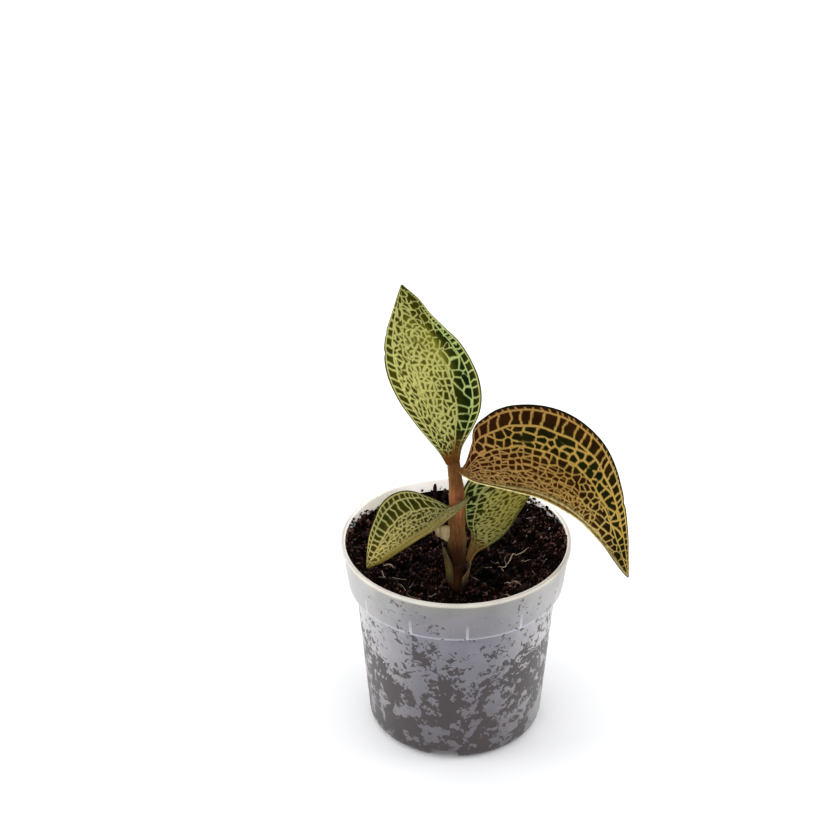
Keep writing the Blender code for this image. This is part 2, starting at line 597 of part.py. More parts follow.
LEAVES = {
    "leaf_upper": {
        "grid": (25, 13),
        "stalk_thickness": 1.6 * MM,
        "midrib": [(-1.0, -14.0, 94.3), (-1.6, -13.4, 98.2), (-2.5, -12.4, 102.3), (-4.5, -9.0, 111.0),
                   (-7.5, -4.0, 120.6), (-11.3, 2.0, 129.0), (-14.0, 7.0, 134.0), (-15.2, 9.5, 136.3)],
        "face": [(0.0, (0.0, -0.85, 0.53)), (1.0, (0.0, -0.85, 0.53))],
        "left": {"width": [(0.0, 2.4), (0.08, 3.8), (0.16, 5.8), (0.25, 8.5), (0.4, 12.2), (0.5, 13.3),
                           (0.6, 13.1), (0.7, 11.5), (0.8, 8.6), (0.9, 4.3), (1.0, 0.2)],
                 "fold": [(0.0, 30.0), (0.2, 12.0), (1.0, 12.0)],
                 "curl": [(0.0, 0.0), (0.3, -40.0), (1.0, -30.0)],
                 "sweep": [(0.0, 0.0), (1.0, 0.0)]},
        "right": {"width": [(0.0, 1.7), (0.08, 3.0), (0.16, 6.7), (0.25, 10.4), (0.4, 13.1), (0.5, 12.4),
                            (0.6, 10.5), (0.7, 7.4), (0.8, 4.7), (0.9, 3.0), (1.0, 0.2)],
                  "fold": [(0.0, 30.0), (0.2, 12.0), (1.0, 12.0)],
                  "curl": [(0.0, 0.0), (0.3, -50.0), (1.0, -30.0)],
                  "sweep": [(0.0, 0.0), (1.0, 0.0)]},
    },
    "leaf_right": {
        "grid": (31, 15),
        "stalk_thickness": 0.8 * MM,
        "midrib": [(-0.4, -16.6, 93.6), (2.0, -16.6, 91.4), (4.8, -16.5, 89.7), (8.9, -15.9, 88.1),
                   (13.0, -15.3, 86.7), (19.9, -14.3, 84.5), (28.3, -13.4, 80.0), (35.4, -12.5, 73.4),
                   (41.2, -11.5, 65.6), (45.7, -10.5, 57.8), (48.1, -10.0, 53.4)],
        "face": [(0.0, (0.0, -0.226, 0.974)), (1.0, (0.0, -0.226, 0.974))],
        "left": {"width": [(0.0, 0.6), (0.04, 2.5), (0.08, 8.5), (0.13, 15.0), (0.2, 20.5), (0.3, 23.6),
                           (0.4, 24.0), (0.5, 21.6), (0.6, 17.0), (0.7, 12.0), (0.8, 7.7), (0.9, 3.8),
                           (1.0, 0.2)],
                 "fold": [(0.0, 50.0), (1.0, 50.0)],
                 "curl": [(0.0, -10.0), (1.0, -10.0)],
                 "sweep": [(0.0, -35.0), (0.1, -25.0), (0.3, -8.0), (0.5, 0.0), (1.0, 15.0)]},
        "right": {"width": [(0.0, 0.6), (0.04, 1.6), (0.1, 7.0), (0.2, 13.0), (0.4, 19.0), (0.55, 17.0),
                            (0.7, 11.0), (0.85, 6.0), (0.95, 2.4), (1.0, 0.2)],
                  "fold": [(0.0, 36.0), (0.08, 40.0), (0.3, 41.0), (0.45, 37.0), (0.6, 31.5),
                           (0.7, 28.5), (0.8, 25.5), (1.0, 25.5)],
                  "curl": [(0.0, 0.0), (1.0, 0.0)],
                  "sweep": [(0.0, -20.0), (0.5, 0.0), (1.0, 15.0)]},
    },
    "leaf_lower_left": {
        "grid": (25, 13),
        "stalk_thickness": 0.9 * MM,
        "midrib": [(3.2, -16.5, 84.6), (1.6, -18.0, 82.9), (-2.8, -18.4, 78.4), (-7.1, -18.2, 74.2),
                   (-11.3, -17.4, 70.7),
                   (-15.5, -16.2, 66.6), (-20.7, -14.8, 61.6), (-24.9, -13.5, 58.8)],
        "face": [(0.0, (0.0, -0.226, 0.974)), (1.0, (0.0, -0.226, 0.974))],
        "left": {"width": [(0.0, 0.8), (0.06, 1.8), (0.18, 3.4), (0.37, 6.5), (0.52, 7.5), (0.66, 6.5),
                           (0.81, 4.5), (0.9, 2.6), (1.0, 0.2)],
                 "fold": [(0.0, 90.0), (0.15, 90.0), (0.3, 66.0), (0.45, 54.0), (0.6, 47.0),
                          (0.75, 48.0), (1.0, 49.0)],
                 "curl": [(0.0, 0.0), (1.0, 0.0)],
                 "sweep": [(0.0, 0.0), (1.0, 15.0)]},
        "right": {"width": [(0.0, 0.7), (0.08, 1.3), (0.17, 2.4), (0.24, 7.0), (0.33, 11.5), (0.43, 13.5),
                            (0.52, 14.5), (0.62, 13.8), (0.71, 11.0), (0.81, 8.1), (0.9, 5.0), (1.0, 0.2)],
                  "fold": [(0.0, 45.0), (1.0, 45.0)],
                  "curl": [(0.0, 0.0), (1.0, 0.0)],
                  "sweep": [(0.0, -20.0), (0.2, -10.0), (0.5, 0.0), (1.0, 35.0)]},
    },
    "leaf_back": {
        "grid": (23, 13),
        "stalk_thickness": 1.0 * MM,
        "midrib": [(3.4, -14.0, 60.9), (5.2, -12.0, 63.0), (8.6, -10.0, 64.2), (13.5, -7.5, 67.3),
                   (17.6, -5.0, 72.6), (20.9, -3.0, 77.3), (24.5, -1.0, 83.3), (25.6, 0.0, 85.9)],
        "face": [(0.0, (-0.5, -0.45, 0.7)), (0.4, (-0.62, -0.39, 0.68)), (1.0, (-0.62, -0.39, 0.68))],
        "left": {"width": [(0.0, 1.0), (0.12, 3.0), (0.25, 10.5), (0.4, 15.0), (0.55, 16.6), (0.7, 14.0),
                           (0.85, 7.5), (1.0, 0.2)],
                 "fold": [(0.0, 45.0), (1.0, 45.0)],
                 "curl": [(0.0, 0.0), (1.0, 0.0)],
                 "sweep": [(0.0, -20.0), (0.3, -10.0), (0.6, 0.0), (1.0, 15.0)]},
        "right": {"width": [(0.0, 1.0), (0.12, 2.0), (0.3, 6.0), (0.5, 8.0), (0.75, 6.0), (0.9, 3.0),
                            (1.0, 0.2)],
                  "fold": [(0.0, 45.0), (1.0, 45.0)],
                  "curl": [(0.0, 0.0), (1.0, 0.0)],
                  "sweep": [(0.0, 0.0), (1.0, 15.0)]},
    },
}


def make_leaf(name, leaf, finish):
    """One leaf, blade and stalk together, thin at the edges and thicker along the midrib."""
    rows, columns = leaf["grid"]
    grid = leaf_surface(leaf, rows, columns)
    from_midrib = np.abs(np.linspace(-1.0, 1.0, columns))[None, :]
    from_stalk = np.linspace(0.0, 1.0, rows)[:, None]
    rib = (leaf["stalk_thickness"] - BLADE_THICKNESS) * (1.0 - from_stalk) ** 2
    thickness = BLADE_THICKNESS + rib * (1.0 - from_midrib) ** 2
    add_object(name, sheet_solid(grid, thickness), finish, 60.0)


def make_leaves():
    green = material("leaf_green_net", (0.12, 0.13, 0.03), 0.45)
    copper = material("leaf_copper_net", (0.13, 0.06, 0.03), 0.4)
    for name, leaf in LEAVES.items():
        make_leaf(name, leaf, copper if name == "leaf_right" else green)


def main():
    clear_scene()
    make_pot()
    soil = make_soil()
    make_stem(soil)
    make_roots(soil)
    make_surface_roots()
    make_loose_bits()
    make_sheaths()
    make_leaves()


main()
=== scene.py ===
"""Looks of the potted jewel orchid: netted velvet leaves, fleshy stem, bark mix, frosted pot.

Lengths are metres unless a name or comment says mm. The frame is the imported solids' own:
+Z is up and the origin is the centre of the pot's underside.
"""

import json
import math

import bpy
import numpy as np
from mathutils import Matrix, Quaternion, Vector

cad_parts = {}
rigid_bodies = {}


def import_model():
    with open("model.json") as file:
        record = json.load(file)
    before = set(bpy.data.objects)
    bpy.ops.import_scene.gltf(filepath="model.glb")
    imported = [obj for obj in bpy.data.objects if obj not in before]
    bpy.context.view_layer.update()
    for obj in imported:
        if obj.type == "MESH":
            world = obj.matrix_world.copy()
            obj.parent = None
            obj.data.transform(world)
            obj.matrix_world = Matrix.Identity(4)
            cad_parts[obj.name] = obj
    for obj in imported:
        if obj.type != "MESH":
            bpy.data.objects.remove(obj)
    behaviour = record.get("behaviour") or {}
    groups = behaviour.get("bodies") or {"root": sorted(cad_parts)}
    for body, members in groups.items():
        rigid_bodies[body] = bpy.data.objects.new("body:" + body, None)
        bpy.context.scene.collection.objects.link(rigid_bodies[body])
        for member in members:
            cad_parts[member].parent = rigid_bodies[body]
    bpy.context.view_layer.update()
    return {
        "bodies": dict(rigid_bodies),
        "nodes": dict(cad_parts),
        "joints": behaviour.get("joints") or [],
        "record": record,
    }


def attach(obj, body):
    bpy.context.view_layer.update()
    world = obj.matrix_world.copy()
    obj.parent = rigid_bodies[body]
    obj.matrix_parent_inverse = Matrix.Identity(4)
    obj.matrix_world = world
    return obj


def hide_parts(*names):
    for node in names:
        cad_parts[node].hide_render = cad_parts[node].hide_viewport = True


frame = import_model()

MM = 0.001
TURN = 2 * math.pi

# Pot, as in the solids but for the three lines that say otherwise
POT_HEIGHT = 59.5 * MM
LIP_RADIUS = 32.49 * MM          # a hair inside the solid's
LIP_DEPTH = 1.5 * MM
LIP_ROUNDING = 0.4 * MM
LIP_WIDTH = 1.2 * MM
COLLAR_TOP_RADIUS = 32 * MM
COLLAR_FOOT_RADIUS = 30.5 * MM
SHOULDER_HEIGHT = 46.1 * MM
SHOULDER_ROUNDING = 0.5 * MM
BODY_TOP_RADIUS = 28.5 * MM
BODY_FOOT_RADIUS = 24.5 * MM
FOOT_ROUNDING = 3.4 * MM         # a little rounder than the solid's
WALL = 0.7 * MM
FLOOR = 0.9 * MM
POT_SEGMENTS = 180
FRONT = math.radians(-90)        # bearing of the pot's front
CHANNEL_COUNT = 4
CHANNEL_TURN = FRONT + math.radians(-8.1)
CHANNEL_WIDTH = 8 * MM
CHANNEL_HEIGHT = 3.4 * MM        # a little more than the solid's
CHANNEL_INNER_END = 13.5 * MM
CHANNEL_CORNER = 0.5 * MM
ROOF_CORNER = 0.2 * MM
ROOF_SKIN = 0.1 * MM             # a channel's roof stays this much inside the foot's outer face
DRAIN_HOLE_RADIUS = 2 * MM
DRAIN_HOLE_PLACE = 18.5 * MM
GUSSET_COUNT = 12
GUSSET_TURN = FRONT + math.radians(-24.7)
GUSSET_HEIGHT = 5.5 * MM
GUSSET_REACH = 1.7 * MM
GUSSET_WIDTH = 0.8 * MM

# Mix, as in the solids; mm. Waves: height, radians for each mm along x and y, and phase
SOIL_HEIGHT = 54.6
SOIL_HEAP_MEAN = 1.7
SOIL_HEAP_SWING = 2.5
SOIL_HEAP_TURN = math.radians(25)
SOIL_HEAP_REACH = 30
MOUND_PLACE = (0, -16)
MOUND_HEIGHT = 0.9
MOUND_SPREAD = 60
SOIL_WAVES = [(0.175, 0.55, 0.48, 0.9), (0.175, 0.55, -0.48, 1.7), (0.25, 0.93, -0.71, 0.6),
              (0.18, 1.21, 0.87, math.pi / 2)]

# Stem, as in the solids; mm
STEM_PATH = [(2.2, -9.5, 45), (0.9, -14, 48.5), (0.1, -16.4, 54), (-0.1, -16.1, 62),
             (0, -15.2, 75), (-0.3, -14.5, 85), (-1, -14, 93.6)]
STEM_RADII = [1.6, 2.4, 2.7, 2.6, 2.45, 2.25, 1.9]
STEM_DOME = 1                    # the stem's rounded top, hidden in the top leaf's stalk
# Rings round the stem: height, rise for each mm to the right, swelling and half height, mm
STEM_RINGS = [(62, 0.3, 0.30, 0.8), (70, -0.2, 0.22, 0.7), (80.5, 0.4, 0.28, 0.8)]
# Upper edges of old sheaths pressed to the stem: height, rise for each mm to the right, step, mm
SHEATH_EDGES = [(75, -1.3, -0.22), (86.5, 0.8, -0.12)]

# Sheaths, finer than the solids: lower and upper height, inner radius, flare, and the bearings
# between which each one stands, in mm and degrees
SHEATHS = {
    "sheath_left": (57.4, 69.8, 2.75, 1.4, 140, 252),
    "sheath_right": (56.8, 62.6, 3.1, 0.9, -62, 50),
    "sheath_torn": (69.4, 74.9, 2.3, 5.2, 186, 212),
}
SHEATH_DIP = 0.35                # share of its height that a sheath loses at its sides
SHEATH_FLARE_POWER = 1.5
PAPER = 0.18                     # mm, a sheath's thickness

# Leaves, as in the solids; mm and degrees. Each half has its width, its fold up from the
# midrib, its curl towards the margin, its sweep along the leaf and small nicks in its margin.
# A curve is a list of (fraction of the length, value), or one value for the whole length. A
# nick is its place along, its depth in mm and its reach along.
LEAVES = {
    "leaf_upper": {
        "stalk_thickness": 1.6,
        "midrib": [(-1, -14, 94.3), (-1.6, -13.4, 98.2), (-2.5, -12.4, 102.3), (-4.5, -9, 111),
            (-7.5, -4, 120.6), (-11.3, 2, 129), (-14, 7, 134), (-15.2, 9.5, 136.3)],
        "face": (0, -0.85, 0.53),
        "left": {
            "width": [(0, 2.4), (0.08, 3.8), (0.16, 5.8), (0.25, 8.5), (0.4, 12.2), (0.5, 13.3),
                (0.6, 13.1), (0.7, 11.5), (0.8, 8.6), (0.9, 4.3), (1, 0.2)],
            "fold": [(0, 30), (0.2, 12), (1, 12)],
            "curl": [(0, 0), (0.3, -40), (1, -30)],
            "nicks": [(0.69, 0.35, 0.012), (0.785, 0.3, 0.01)],
        },
        "right": {
            "width": [(0, 1.7), (0.08, 3), (0.16, 6.7), (0.25, 10.4), (0.4, 13.1), (0.5, 12.4),
                (0.6, 10.5), (0.7, 7.4), (0.8, 4.7), (0.9, 3), (1, 0.2)],
            "fold": [(0, 30), (0.2, 12), (1, 12)],
            "curl": [(0, 0), (0.3, -50), (1, -30)],
        },
    },
    "leaf_right": {
        "stalk_thickness": 0.8,
        "midrib": [(-0.4, -16.6, 93.6), (2, -16.6, 91.4), (4.8, -16.5, 89.7), (8.9, -15.9, 88.1),
            (13, -15.3, 86.7), (19.9, -14.3, 84.5), (28.3, -13.4, 80), (35.4, -12.5, 73.4),
            (41.2, -11.5, 65.6), (45.7, -10.5, 57.8), (48.1, -10, 53.4)],
        "face": (0, -0.226, 0.974),
        "left": {
            "width": [(0, 0.6), (0.04, 2.5), (0.08, 8.5), (0.13, 15), (0.2, 20.5), (0.3, 23.6),
                (0.4, 24), (0.5, 21.6), (0.6, 17), (0.7, 12), (0.8, 7.7), (0.9, 3.8), (1, 0.2)],
            "fold": 50,
            "curl": -10,
            "sweep": [(0, -35), (0.1, -25), (0.3, -8), (0.5, 0), (1, 15)],
            "nicks": [(0.7, 0.3, 0.012)],
        },
        "right": {
            "width": [(0, 0.6), (0.04, 1.6), (0.1, 7), (0.2, 13), (0.4, 19), (0.55, 17), (0.7, 11),
                (0.85, 6), (0.95, 2.4), (1, 0.2)],
            "fold": [(0, 36), (0.08, 40), (0.3, 41), (0.45, 37), (0.6, 31.5), (0.7, 28.5),
                (0.8, 25.5), (1, 25.5)],
            "sweep": [(0, -20), (0.5, 0), (1, 15)],
        },
    },
    "leaf_lower_left": {
        "stalk_thickness": 0.9,
        "midrib": [(3.2, -16.5, 84.6), (1.6, -18, 82.9), (-2.8, -18.4, 78.4), (-7.1, -18.2, 74.2),
            (-11.3, -17.4, 70.7), (-15.5, -16.2, 66.6), (-20.7, -14.8, 61.6), (-24.9, -13.5, 58.8)],
        "face": (0, -0.226, 0.974),
        "left": {
            "width": [(0, 0.8), (0.06, 1.8), (0.18, 3.4), (0.37, 6.5), (0.52, 7.5), (0.66, 6.5),
                (0.81, 4.5), (0.9, 2.6), (1, 0.2)],
            "fold": [(0, 90), (0.15, 90), (0.3, 66), (0.45, 54), (0.6, 47), (0.75, 48), (1, 49)],
            "sweep": [(0, 0), (1, 15)],
        },
        "right": {
            "width": [(0, 0.7), (0.08, 1.3), (0.17, 2.4), (0.24, 7), (0.33, 11.5), (0.43, 13.5),
                (0.52, 14.5), (0.62, 13.8), (0.71, 11), (0.81, 8.1), (0.9, 5), (1, 0.2)],
            "fold": 45,
            "sweep": [(0, -20), (0.2, -10), (0.5, 0), (1, 35)],
        },
    },
    "leaf_back": {
        "stalk_thickness": 1,
        "midrib": [(3.4, -14, 60.9), (5.2, -12, 63), (8.6, -10, 64.2), (13.5, -7.5, 67.3),
            (17.6, -5, 72.6), (20.9, -3, 77.3), (24.5, -1, 83.3), (25.6, 0, 85.9)],
        "face": [(0, (-0.5, -0.45, 0.7)), (0.4, (-0.62, -0.39, 0.68)), (1, (-0.62, -0.39, 0.68))],
        "left": {
            "width": [(0, 1), (0.12, 3), (0.25, 10.5), (0.4, 15), (0.55, 16.6), (0.7, 14),
                (0.85, 7.5), (1, 0.2)],
            "fold": 45,
            "sweep": [(0, -20), (0.3, -10), (0.6, 0), (1, 15)],
        },
        "right": {
            "width": [(0, 1), (0.12, 2), (0.3, 6), (0.5, 8), (0.75, 6), (0.9, 3), (1, 0.2)],
            "fold": 45,
            "sweep": [(0, 0), (1, 15)],
        },
    },
}

# Veins of each half leaf: a seed, its long veins, its ladders and its nets.
# Long vein: place across, half width in mm, and where it starts and ends along the leaf.
# Ladder: rungs from one place across to another, their spacing in mm, slant in degrees, half
# width, and how far out they reach.
# Net: from one place across to another, from one place along to another, its cells' length
# and height in mm, half width, the share of missing vein, and its lean.
FULL = (1.1, 1.2)                # reach of rungs that go the whole way
NETS = {
    ("leaf_right", "left"): (
        3, [(0.935, 0.23, 0, 0.93), (0.75, 0.28, 0, 0.95), (0.5, 0.22, 0, 0.62),
         (0.43, 0.14, 0, 0.32), (0.36, 0.14, 0, 0.36), (0.29, 0.14, 0, 0.4), (0.22, 0.15, 0, 0.6),
         (0.15, 0.13, 0, 0.5), (0.08, 0.13, 0, 0.5), (0, 0.35, 0, 0.75), (0.45, 0.24, 0.66, 0.93)],
        [(0.935, 1, 2.1, -30, 0.2, (0.45, 0.85)), (0.75, 0.935, 3.1, 4, 0.27, FULL)],
        [(0.5, 0.75, 0, 0.66, 2.9, 2.7, 0.25, 0.13, 0),
         (0.45, 0.75, 0.66, 1, 2.8, 2.6, 0.25, 0.05, 0),
         (0.2, 0.5, 0, 0.66, 2.3, 1.9, 0.205, 0.06, 0), (0, 0.45, 0.66, 1, 2.7, 2.4, 0.23, 0.03, 0),
         (0.045, 0.2, 0, 0.66, 2.1, 1, 0.175, 0, 0)]),
    ("leaf_right", "right"): (
        5, [(0.93, 0.25, 0, 0.9), (0.72, 0.27, 0, 0.95), (0.48, 0.24, 0, 0.95)],
        [(0.93, 1, 2.1, -30, 0.2, (0.45, 0.85)), (0.72, 0.93, 3, 4, 0.27, FULL)],
        [(0.48, 0.72, 0, 1, 3, 2.8, 0.26, 0.2, 0), (0, 0.48, 0, 1, 2.2, 1.7, 0.23, 0.05, 0)]),
    ("leaf_upper", "left"): (
        11, [(0.945, 0.2, 0, 0.97), (0.74, 0.22, 0, 0.97), (0.42, 0.16, 0.3, 0.9)],
        [(0.74, 0.945, 2.4, 40, 0.22, FULL)],
        [(0.36, 0.74, 0, 0.76, 2.1, 1.15, 0.26, 0, 0.6), (0, 0.36, 0, 0.76, 2, 1.15, 0.29, 0, 0.2),
         (0, 0.74, 0.76, 1, 2.3, 1.4, 0.27, 0.05, 0.3)]),
    ("leaf_upper", "right"): (
        13, [(0.93, 0.22, 0, 0.95), (0.72, 0.2, 0, 0.8), (0.3, 0.18, 0, 0.5)],
        [(0.72, 0.93, 2.5, 8, 0.21, FULL)],
        [(0.3, 0.72, 0, 0.6, 2.6, 3.6, 0.21, 0.26, 0.5), (0.3, 0.93, 0.6, 1, 2.6, 2, 0.16, 0.2, 0),
         (0, 0.3, 0, 0.76, 2, 1.15, 0.29, 0, 0.2), (0, 0.3, 0.76, 1, 2.3, 1.4, 0.27, 0.05, 0.3)]),
    ("leaf_lower_left", "right"): (
        21, [(0.96, 0.19, 0, 0.95), (0.83, 0.19, 0, 0.95), (0.54, 0.22, 0, 0.95),
         (0.36, 0.16, 0, 0.7), (0.2, 0.14, 0, 0.5)],
        [(0.83, 0.96, 1.7, -10, 0.17, FULL), (0.54, 0.83, 2.5, 20, 0.22, FULL)],
        [(0.3, 0.54, 0, 1, 1.8, 1.25, 0.21, 0.03, 0.3), (0, 0.3, 0, 1, 1.6, 0.95, 0.23, 0, 0.3)]),
    ("leaf_lower_left", "left"): (
        23, [(0.93, 0.14, 0, 0.95), (0.6, 0.15, 0, 0.95)],
        [(0.6, 0.93, 1.8, -10, 0.16, FULL)],
        [(0, 0.6, 0, 1, 1.5, 1.1, 0.16, 0.05, 0)]),
    ("leaf_back", "left"): (
        31, [(0.95, 0.2, 0, 0.95), (0.7, 0.22, 0, 0.6)],
        [],
        [(0.56, 0.95, 0, 0.7, 2.9, 2.2, 0.27, 0.1, -0.8),
         (0.56, 0.95, 0.7, 1, 1.9, 1.3, 0.25, 0.05, -0.4),
         (0, 0.56, 0, 1, 1.9, 0.95, 0.27, 0, -0.5)]),
    ("leaf_back", "right"): (
        33, [(0.93, 0.16, 0, 0.95)],
        [(0.7, 0.93, 2, -15, 0.17, FULL)],
        [(0, 0.7, 0, 1, 1.9, 1.15, 0.3, 0, -0.5)]),
}


# ------------------------ small helpers

def linear(colour):
    """An sRGB hex colour as linear red, green and blue with full alpha."""
    parts = [int(colour[k:k + 2], 16) / 255 for k in (1, 3, 5)]
    return (*[c / 12.92 if c <= 0.04045 else ((c + 0.055) / 1.055) ** 2.4 for c in parts], 1)


# A Mix node between two colours
COLOURS = {"out": 2, "data_type": "RGBA"}


class Look:
    """A material in the making.

    A value is a number, an sRGB hex colour, a vector, or the output of a node added earlier.
    """

    def __init__(self, name, **values):
        """Start from the Principled shader; values are by its sockets' names, _ for a space."""
        self.material = bpy.data.materials.new(name)
        self.material.use_nodes = True
        self.tree = self.material.node_tree
        self.shader = self.tree.nodes["Principled BSDF"]
        for socket, value in values.items():
            self.put(self.shader.inputs[socket.replace("_", " ")], value)

    def put(self, socket, value):
        """Set one socket, or wire it."""
        if isinstance(value, bpy.types.NodeSocket):
            self.tree.links.new(value, socket)
        else:
            socket.default_value = linear(value) if isinstance(value, str) else value

    def add(self, kind, values, out=0, stops=(), **settings):
        """Add a node with its sockets' values and links, a ramp's stops and its settings."""
        node = self.tree.nodes.new("ShaderNode" + kind)
        for name, value in settings.items():
            setattr(node, name, value)
        for socket, value in values.items():
            self.put(node.inputs[socket], value)
        for number, (position, tone) in enumerate(stops):
            elements = node.color_ramp.elements
            stop = elements[number] if number < 2 else elements.new(position)
            stop.position = position
            stop.color = linear(tone) if isinstance(tone, str) else (tone, tone, tone, 1)
        return node.outputs[out]

    def shade(self, colour, value, low, high, start=0.3, end=0.7):
        """Darken or lighten a colour by a value: times low up to start, times high from end."""
        factor = self.add("ValToRGB", {0: value}, stops=[(start, low), (end, high)])
        return self.add("Mix", {0: 1, 6: colour, 7: factor}, blend_type="MULTIPLY", **COLOURS)

    def place(self, x=1, y=1, z=1):
        """Object coordinates in mm, stretched by the given factors."""
        here = self.add("TexCoord", {}, "Object")
        return self.add("Mapping", {"Vector": here, "Scale": (x / MM, y / MM, z / MM)})

    def finish(self, colour, height, strength, depth):
        """Wire up the colour, and a bump: a height from 0 to 1, its strength, its depth in mm."""
        self.put(self.shader.inputs["Base Color"], colour)
        bump = self.add("Bump", {"Strength": strength, "Distance": depth * MM, "Height": height})
        self.put(self.shader.inputs["Normal"], bump)
        return self.material


def deselect():
    """Nothing selected and nothing active, so an operator acts on the new piece only."""
    for thing in bpy.context.selected_objects:
        thing.select_set(False)
    bpy.context.view_layer.objects.active = None


def pick(*things):
    """Make these objects the only ones selected, and the first one active."""
    deselect()
    for thing in things:
        thing.select_set(True)
    bpy.context.view_layer.objects.active = things[0]


def add_object(name, data):
    """A new object at the origin."""
    thing = bpy.data.objects.new(name, data)
    bpy.context.scene.collection.objects.link(thing)
    return thing


def mesh_piece(name, points, faces, edges=()):
    """A new mesh object from points in metres."""
    mesh = bpy.data.meshes.new(name)
    mesh.from_pydata([tuple(p) for p in points], edges, faces)
    mesh.update()
    return add_object(name, mesh)


def store(piece, name, kind, field, values):
    """Keep a value or a colour for each point of a piece."""
    piece.data.attributes.new(name, kind, "POINT").data.foreach_set(field, values)


def finish_piece(piece, material, replaces=()):
    """Give a piece its material, hang it on the root body and hide the solids it stands in for."""
    piece.data.materials.clear()
    piece.data.materials.append(material)
    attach(piece, "root")
    if replaces:
        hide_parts(*replaces)
    return piece


def unit(vectors):
    """Scale vectors to length one."""
    return vectors / np.maximum(np.linalg.norm(vectors, axis=-1, keepdims=True), 1e-12)


def smooth_curve(knots, values, where):
    """Read a smooth curve through the given values, one for each knot, at any places."""
    knots = np.asarray(knots, float)
    values = np.asarray(values, float).reshape(len(knots), -1)
    slopes = np.gradient(values, knots, axis=0)
    where = np.clip(np.atleast_1d(where), knots[0], knots[-1])
    cell = np.clip(np.searchsorted(knots, where, side="right") - 1, 0, len(knots) - 2)
    span = (knots[cell + 1] - knots[cell])[:, None]
    f = (where - knots[cell])[:, None] / span
    start, end = values[cell], values[cell + 1]
    return ((2 * f**3 - 3 * f**2 + 1) * start + (f**3 - 2 * f**2 + f) * span * slopes[cell]
            + (-2 * f**3 + 3 * f**2) * end + (f**3 - f**2) * span * slopes[cell + 1])


def read_curve(curve, where):
    """Values of a leaf's curve, or of its one steady value, at fractions of the length."""
    if not isinstance(curve, list):
        curve = [(0, curve), (1, curve)]
    return smooth_curve(*zip(*curve), where)


def along_path(points, where):
    """Points on a smooth curve through a path's points, by fraction of its length."""
    points = np.asarray(points, float)
    steps = np.linalg.norm(np.diff(points, axis=0), axis=1)
    knots = np.concatenate([[0], np.cumsum(steps)]) / steps.sum()
    return smooth_curve(knots, points, where)


def hashed(a, b, seed):
    """A repeatable random number from 0 to 1 for each pair of whole numbers."""
    mixed = np.sin(a * 127.1 + b * 311.7 + seed * 74.7) * 43758.5453
    return mixed - np.floor(mixed)


def patches(x, y, seed):
    """Smooth random patches from 0 to 1, about one unit across."""
    a, b = np.floor(x), np.floor(y)
    f, g = x - a, y - b
    f, g = f * f * (3 - 2 * f), g * g * (3 - 2 * g)
    low = hashed(a, b, seed) * (1 - f) + hashed(a + 1, b, seed) * f
    high = hashed(a, b + 1, seed) * (1 - f) + hashed(a + 1, b + 1, seed) * f
    return low * (1 - g) + high * g


def fading(where, start, end):
    """1 before start, 0 after end, and a smooth step between them; start may be past end."""
    f = np.clip((where - start) / (end - start), 0, 1)
    return 1 - f * f * (3 - 2 * f)


def ring_faces(rings, sides, first=0):
    """Faces of a closed tube from its rings of points; first is its first point's number."""
    faces = []
    for low in range(first, first + (rings - 1) * sides, sides):
        high = low + sides
        faces += [(low + k, low + (k + 1) % sides, high + (k + 1) % sides, high + k)
                  for k in range(sides)]
    last = first + (rings - 1) * sides
    return faces + [tuple(range(first, first + sides))[::-1], tuple(range(last, last + sides))]


def ring_frames(path, start):
    """Along a path: each point's heading and two directions across it, without any twist."""
    heading = unit(np.gradient(path, axis=0))
    side = unit(np.cross(heading[0], start))
    frames = []
    for forward in heading:
        side = unit(side - forward * np.dot(side, forward))
        frames.append((side, np.cross(forward, side)))
    return heading, frames


# ------------------------ leaf shapes, as in the solids

def leaf_half(leaf, side, rows, columns):
    """Points over one half of a leaf, in mm: rows along the midrib, columns out to the margin."""
    where = np.linspace(0, 1, rows)
    midrib = along_path(leaf["midrib"], where)
    heading = unit(np.gradient(midrib, axis=0))
    face = unit(read_curve(leaf["face"], where))
    face = unit(face - heading * np.sum(face * heading, axis=1, keepdims=True))
    sign = -1 if side == "left" else 1
    sideways = sign * np.cross(heading, face)
    half = leaf[side]
    width, fold, curl, sweep = (read_curve(half.get(key, 0), where)[:, 0]
                                for key in ("width", "fold", "curl", "sweep"))
    for place, depth, reach in half.get("nicks", ()):
        width = width - depth * np.exp(-((where - place) / reach) ** 2)
    sweep = np.radians(sweep)[:, None]
    grid = np.zeros((rows, columns, 3))
    grid[:, 0] = midrib
    steps = columns - 1
    for step in range(1, columns):
        angle = np.radians(fold + curl * (step - 0.5) / steps)[:, None]
        out = sideways * np.cos(angle) + face * np.sin(angle)
        out = out * np.cos(sweep) + heading * np.sin(sweep)
        grid[:, step] = grid[:, step - 1] + out * (width / steps)[:, None]
    return grid


def half_measures(grid):
    """Lengths along the half leaf from its stalk, and across it from the midrib, in mm."""
    measures = []
    for axis in (0, 1):
        steps = np.linalg.norm(np.diff(grid, axis=axis, prepend=grid.take([0], axis)), axis=2)
        measures.append(np.cumsum(steps, axis=axis))
    return measures


# ------------------------ the net of veins

CELL_JITTER = 0.68               # how far a cell's middle may stray, in cells
TIP_SLIMMING = 0.45              # veins grow slimmer where a leaf is narrower than this share
MARGIN_BAND = 0.25               # mm of plain margin outside the net
VEIN_SOFTNESS = 0.09             # mm over which a vein's edge fades
JOINED_SEED = 500                # nets next to the midrib share seeds, so that both halves meet


def line_cover(distance, half_width):
    """How much of a vein covers a point, from its distance to the vein's middle, in mm."""
    return np.clip((half_width + VEIN_SOFTNESS - distance) / (2 * VEIN_SOFTNESS), 0, 1)


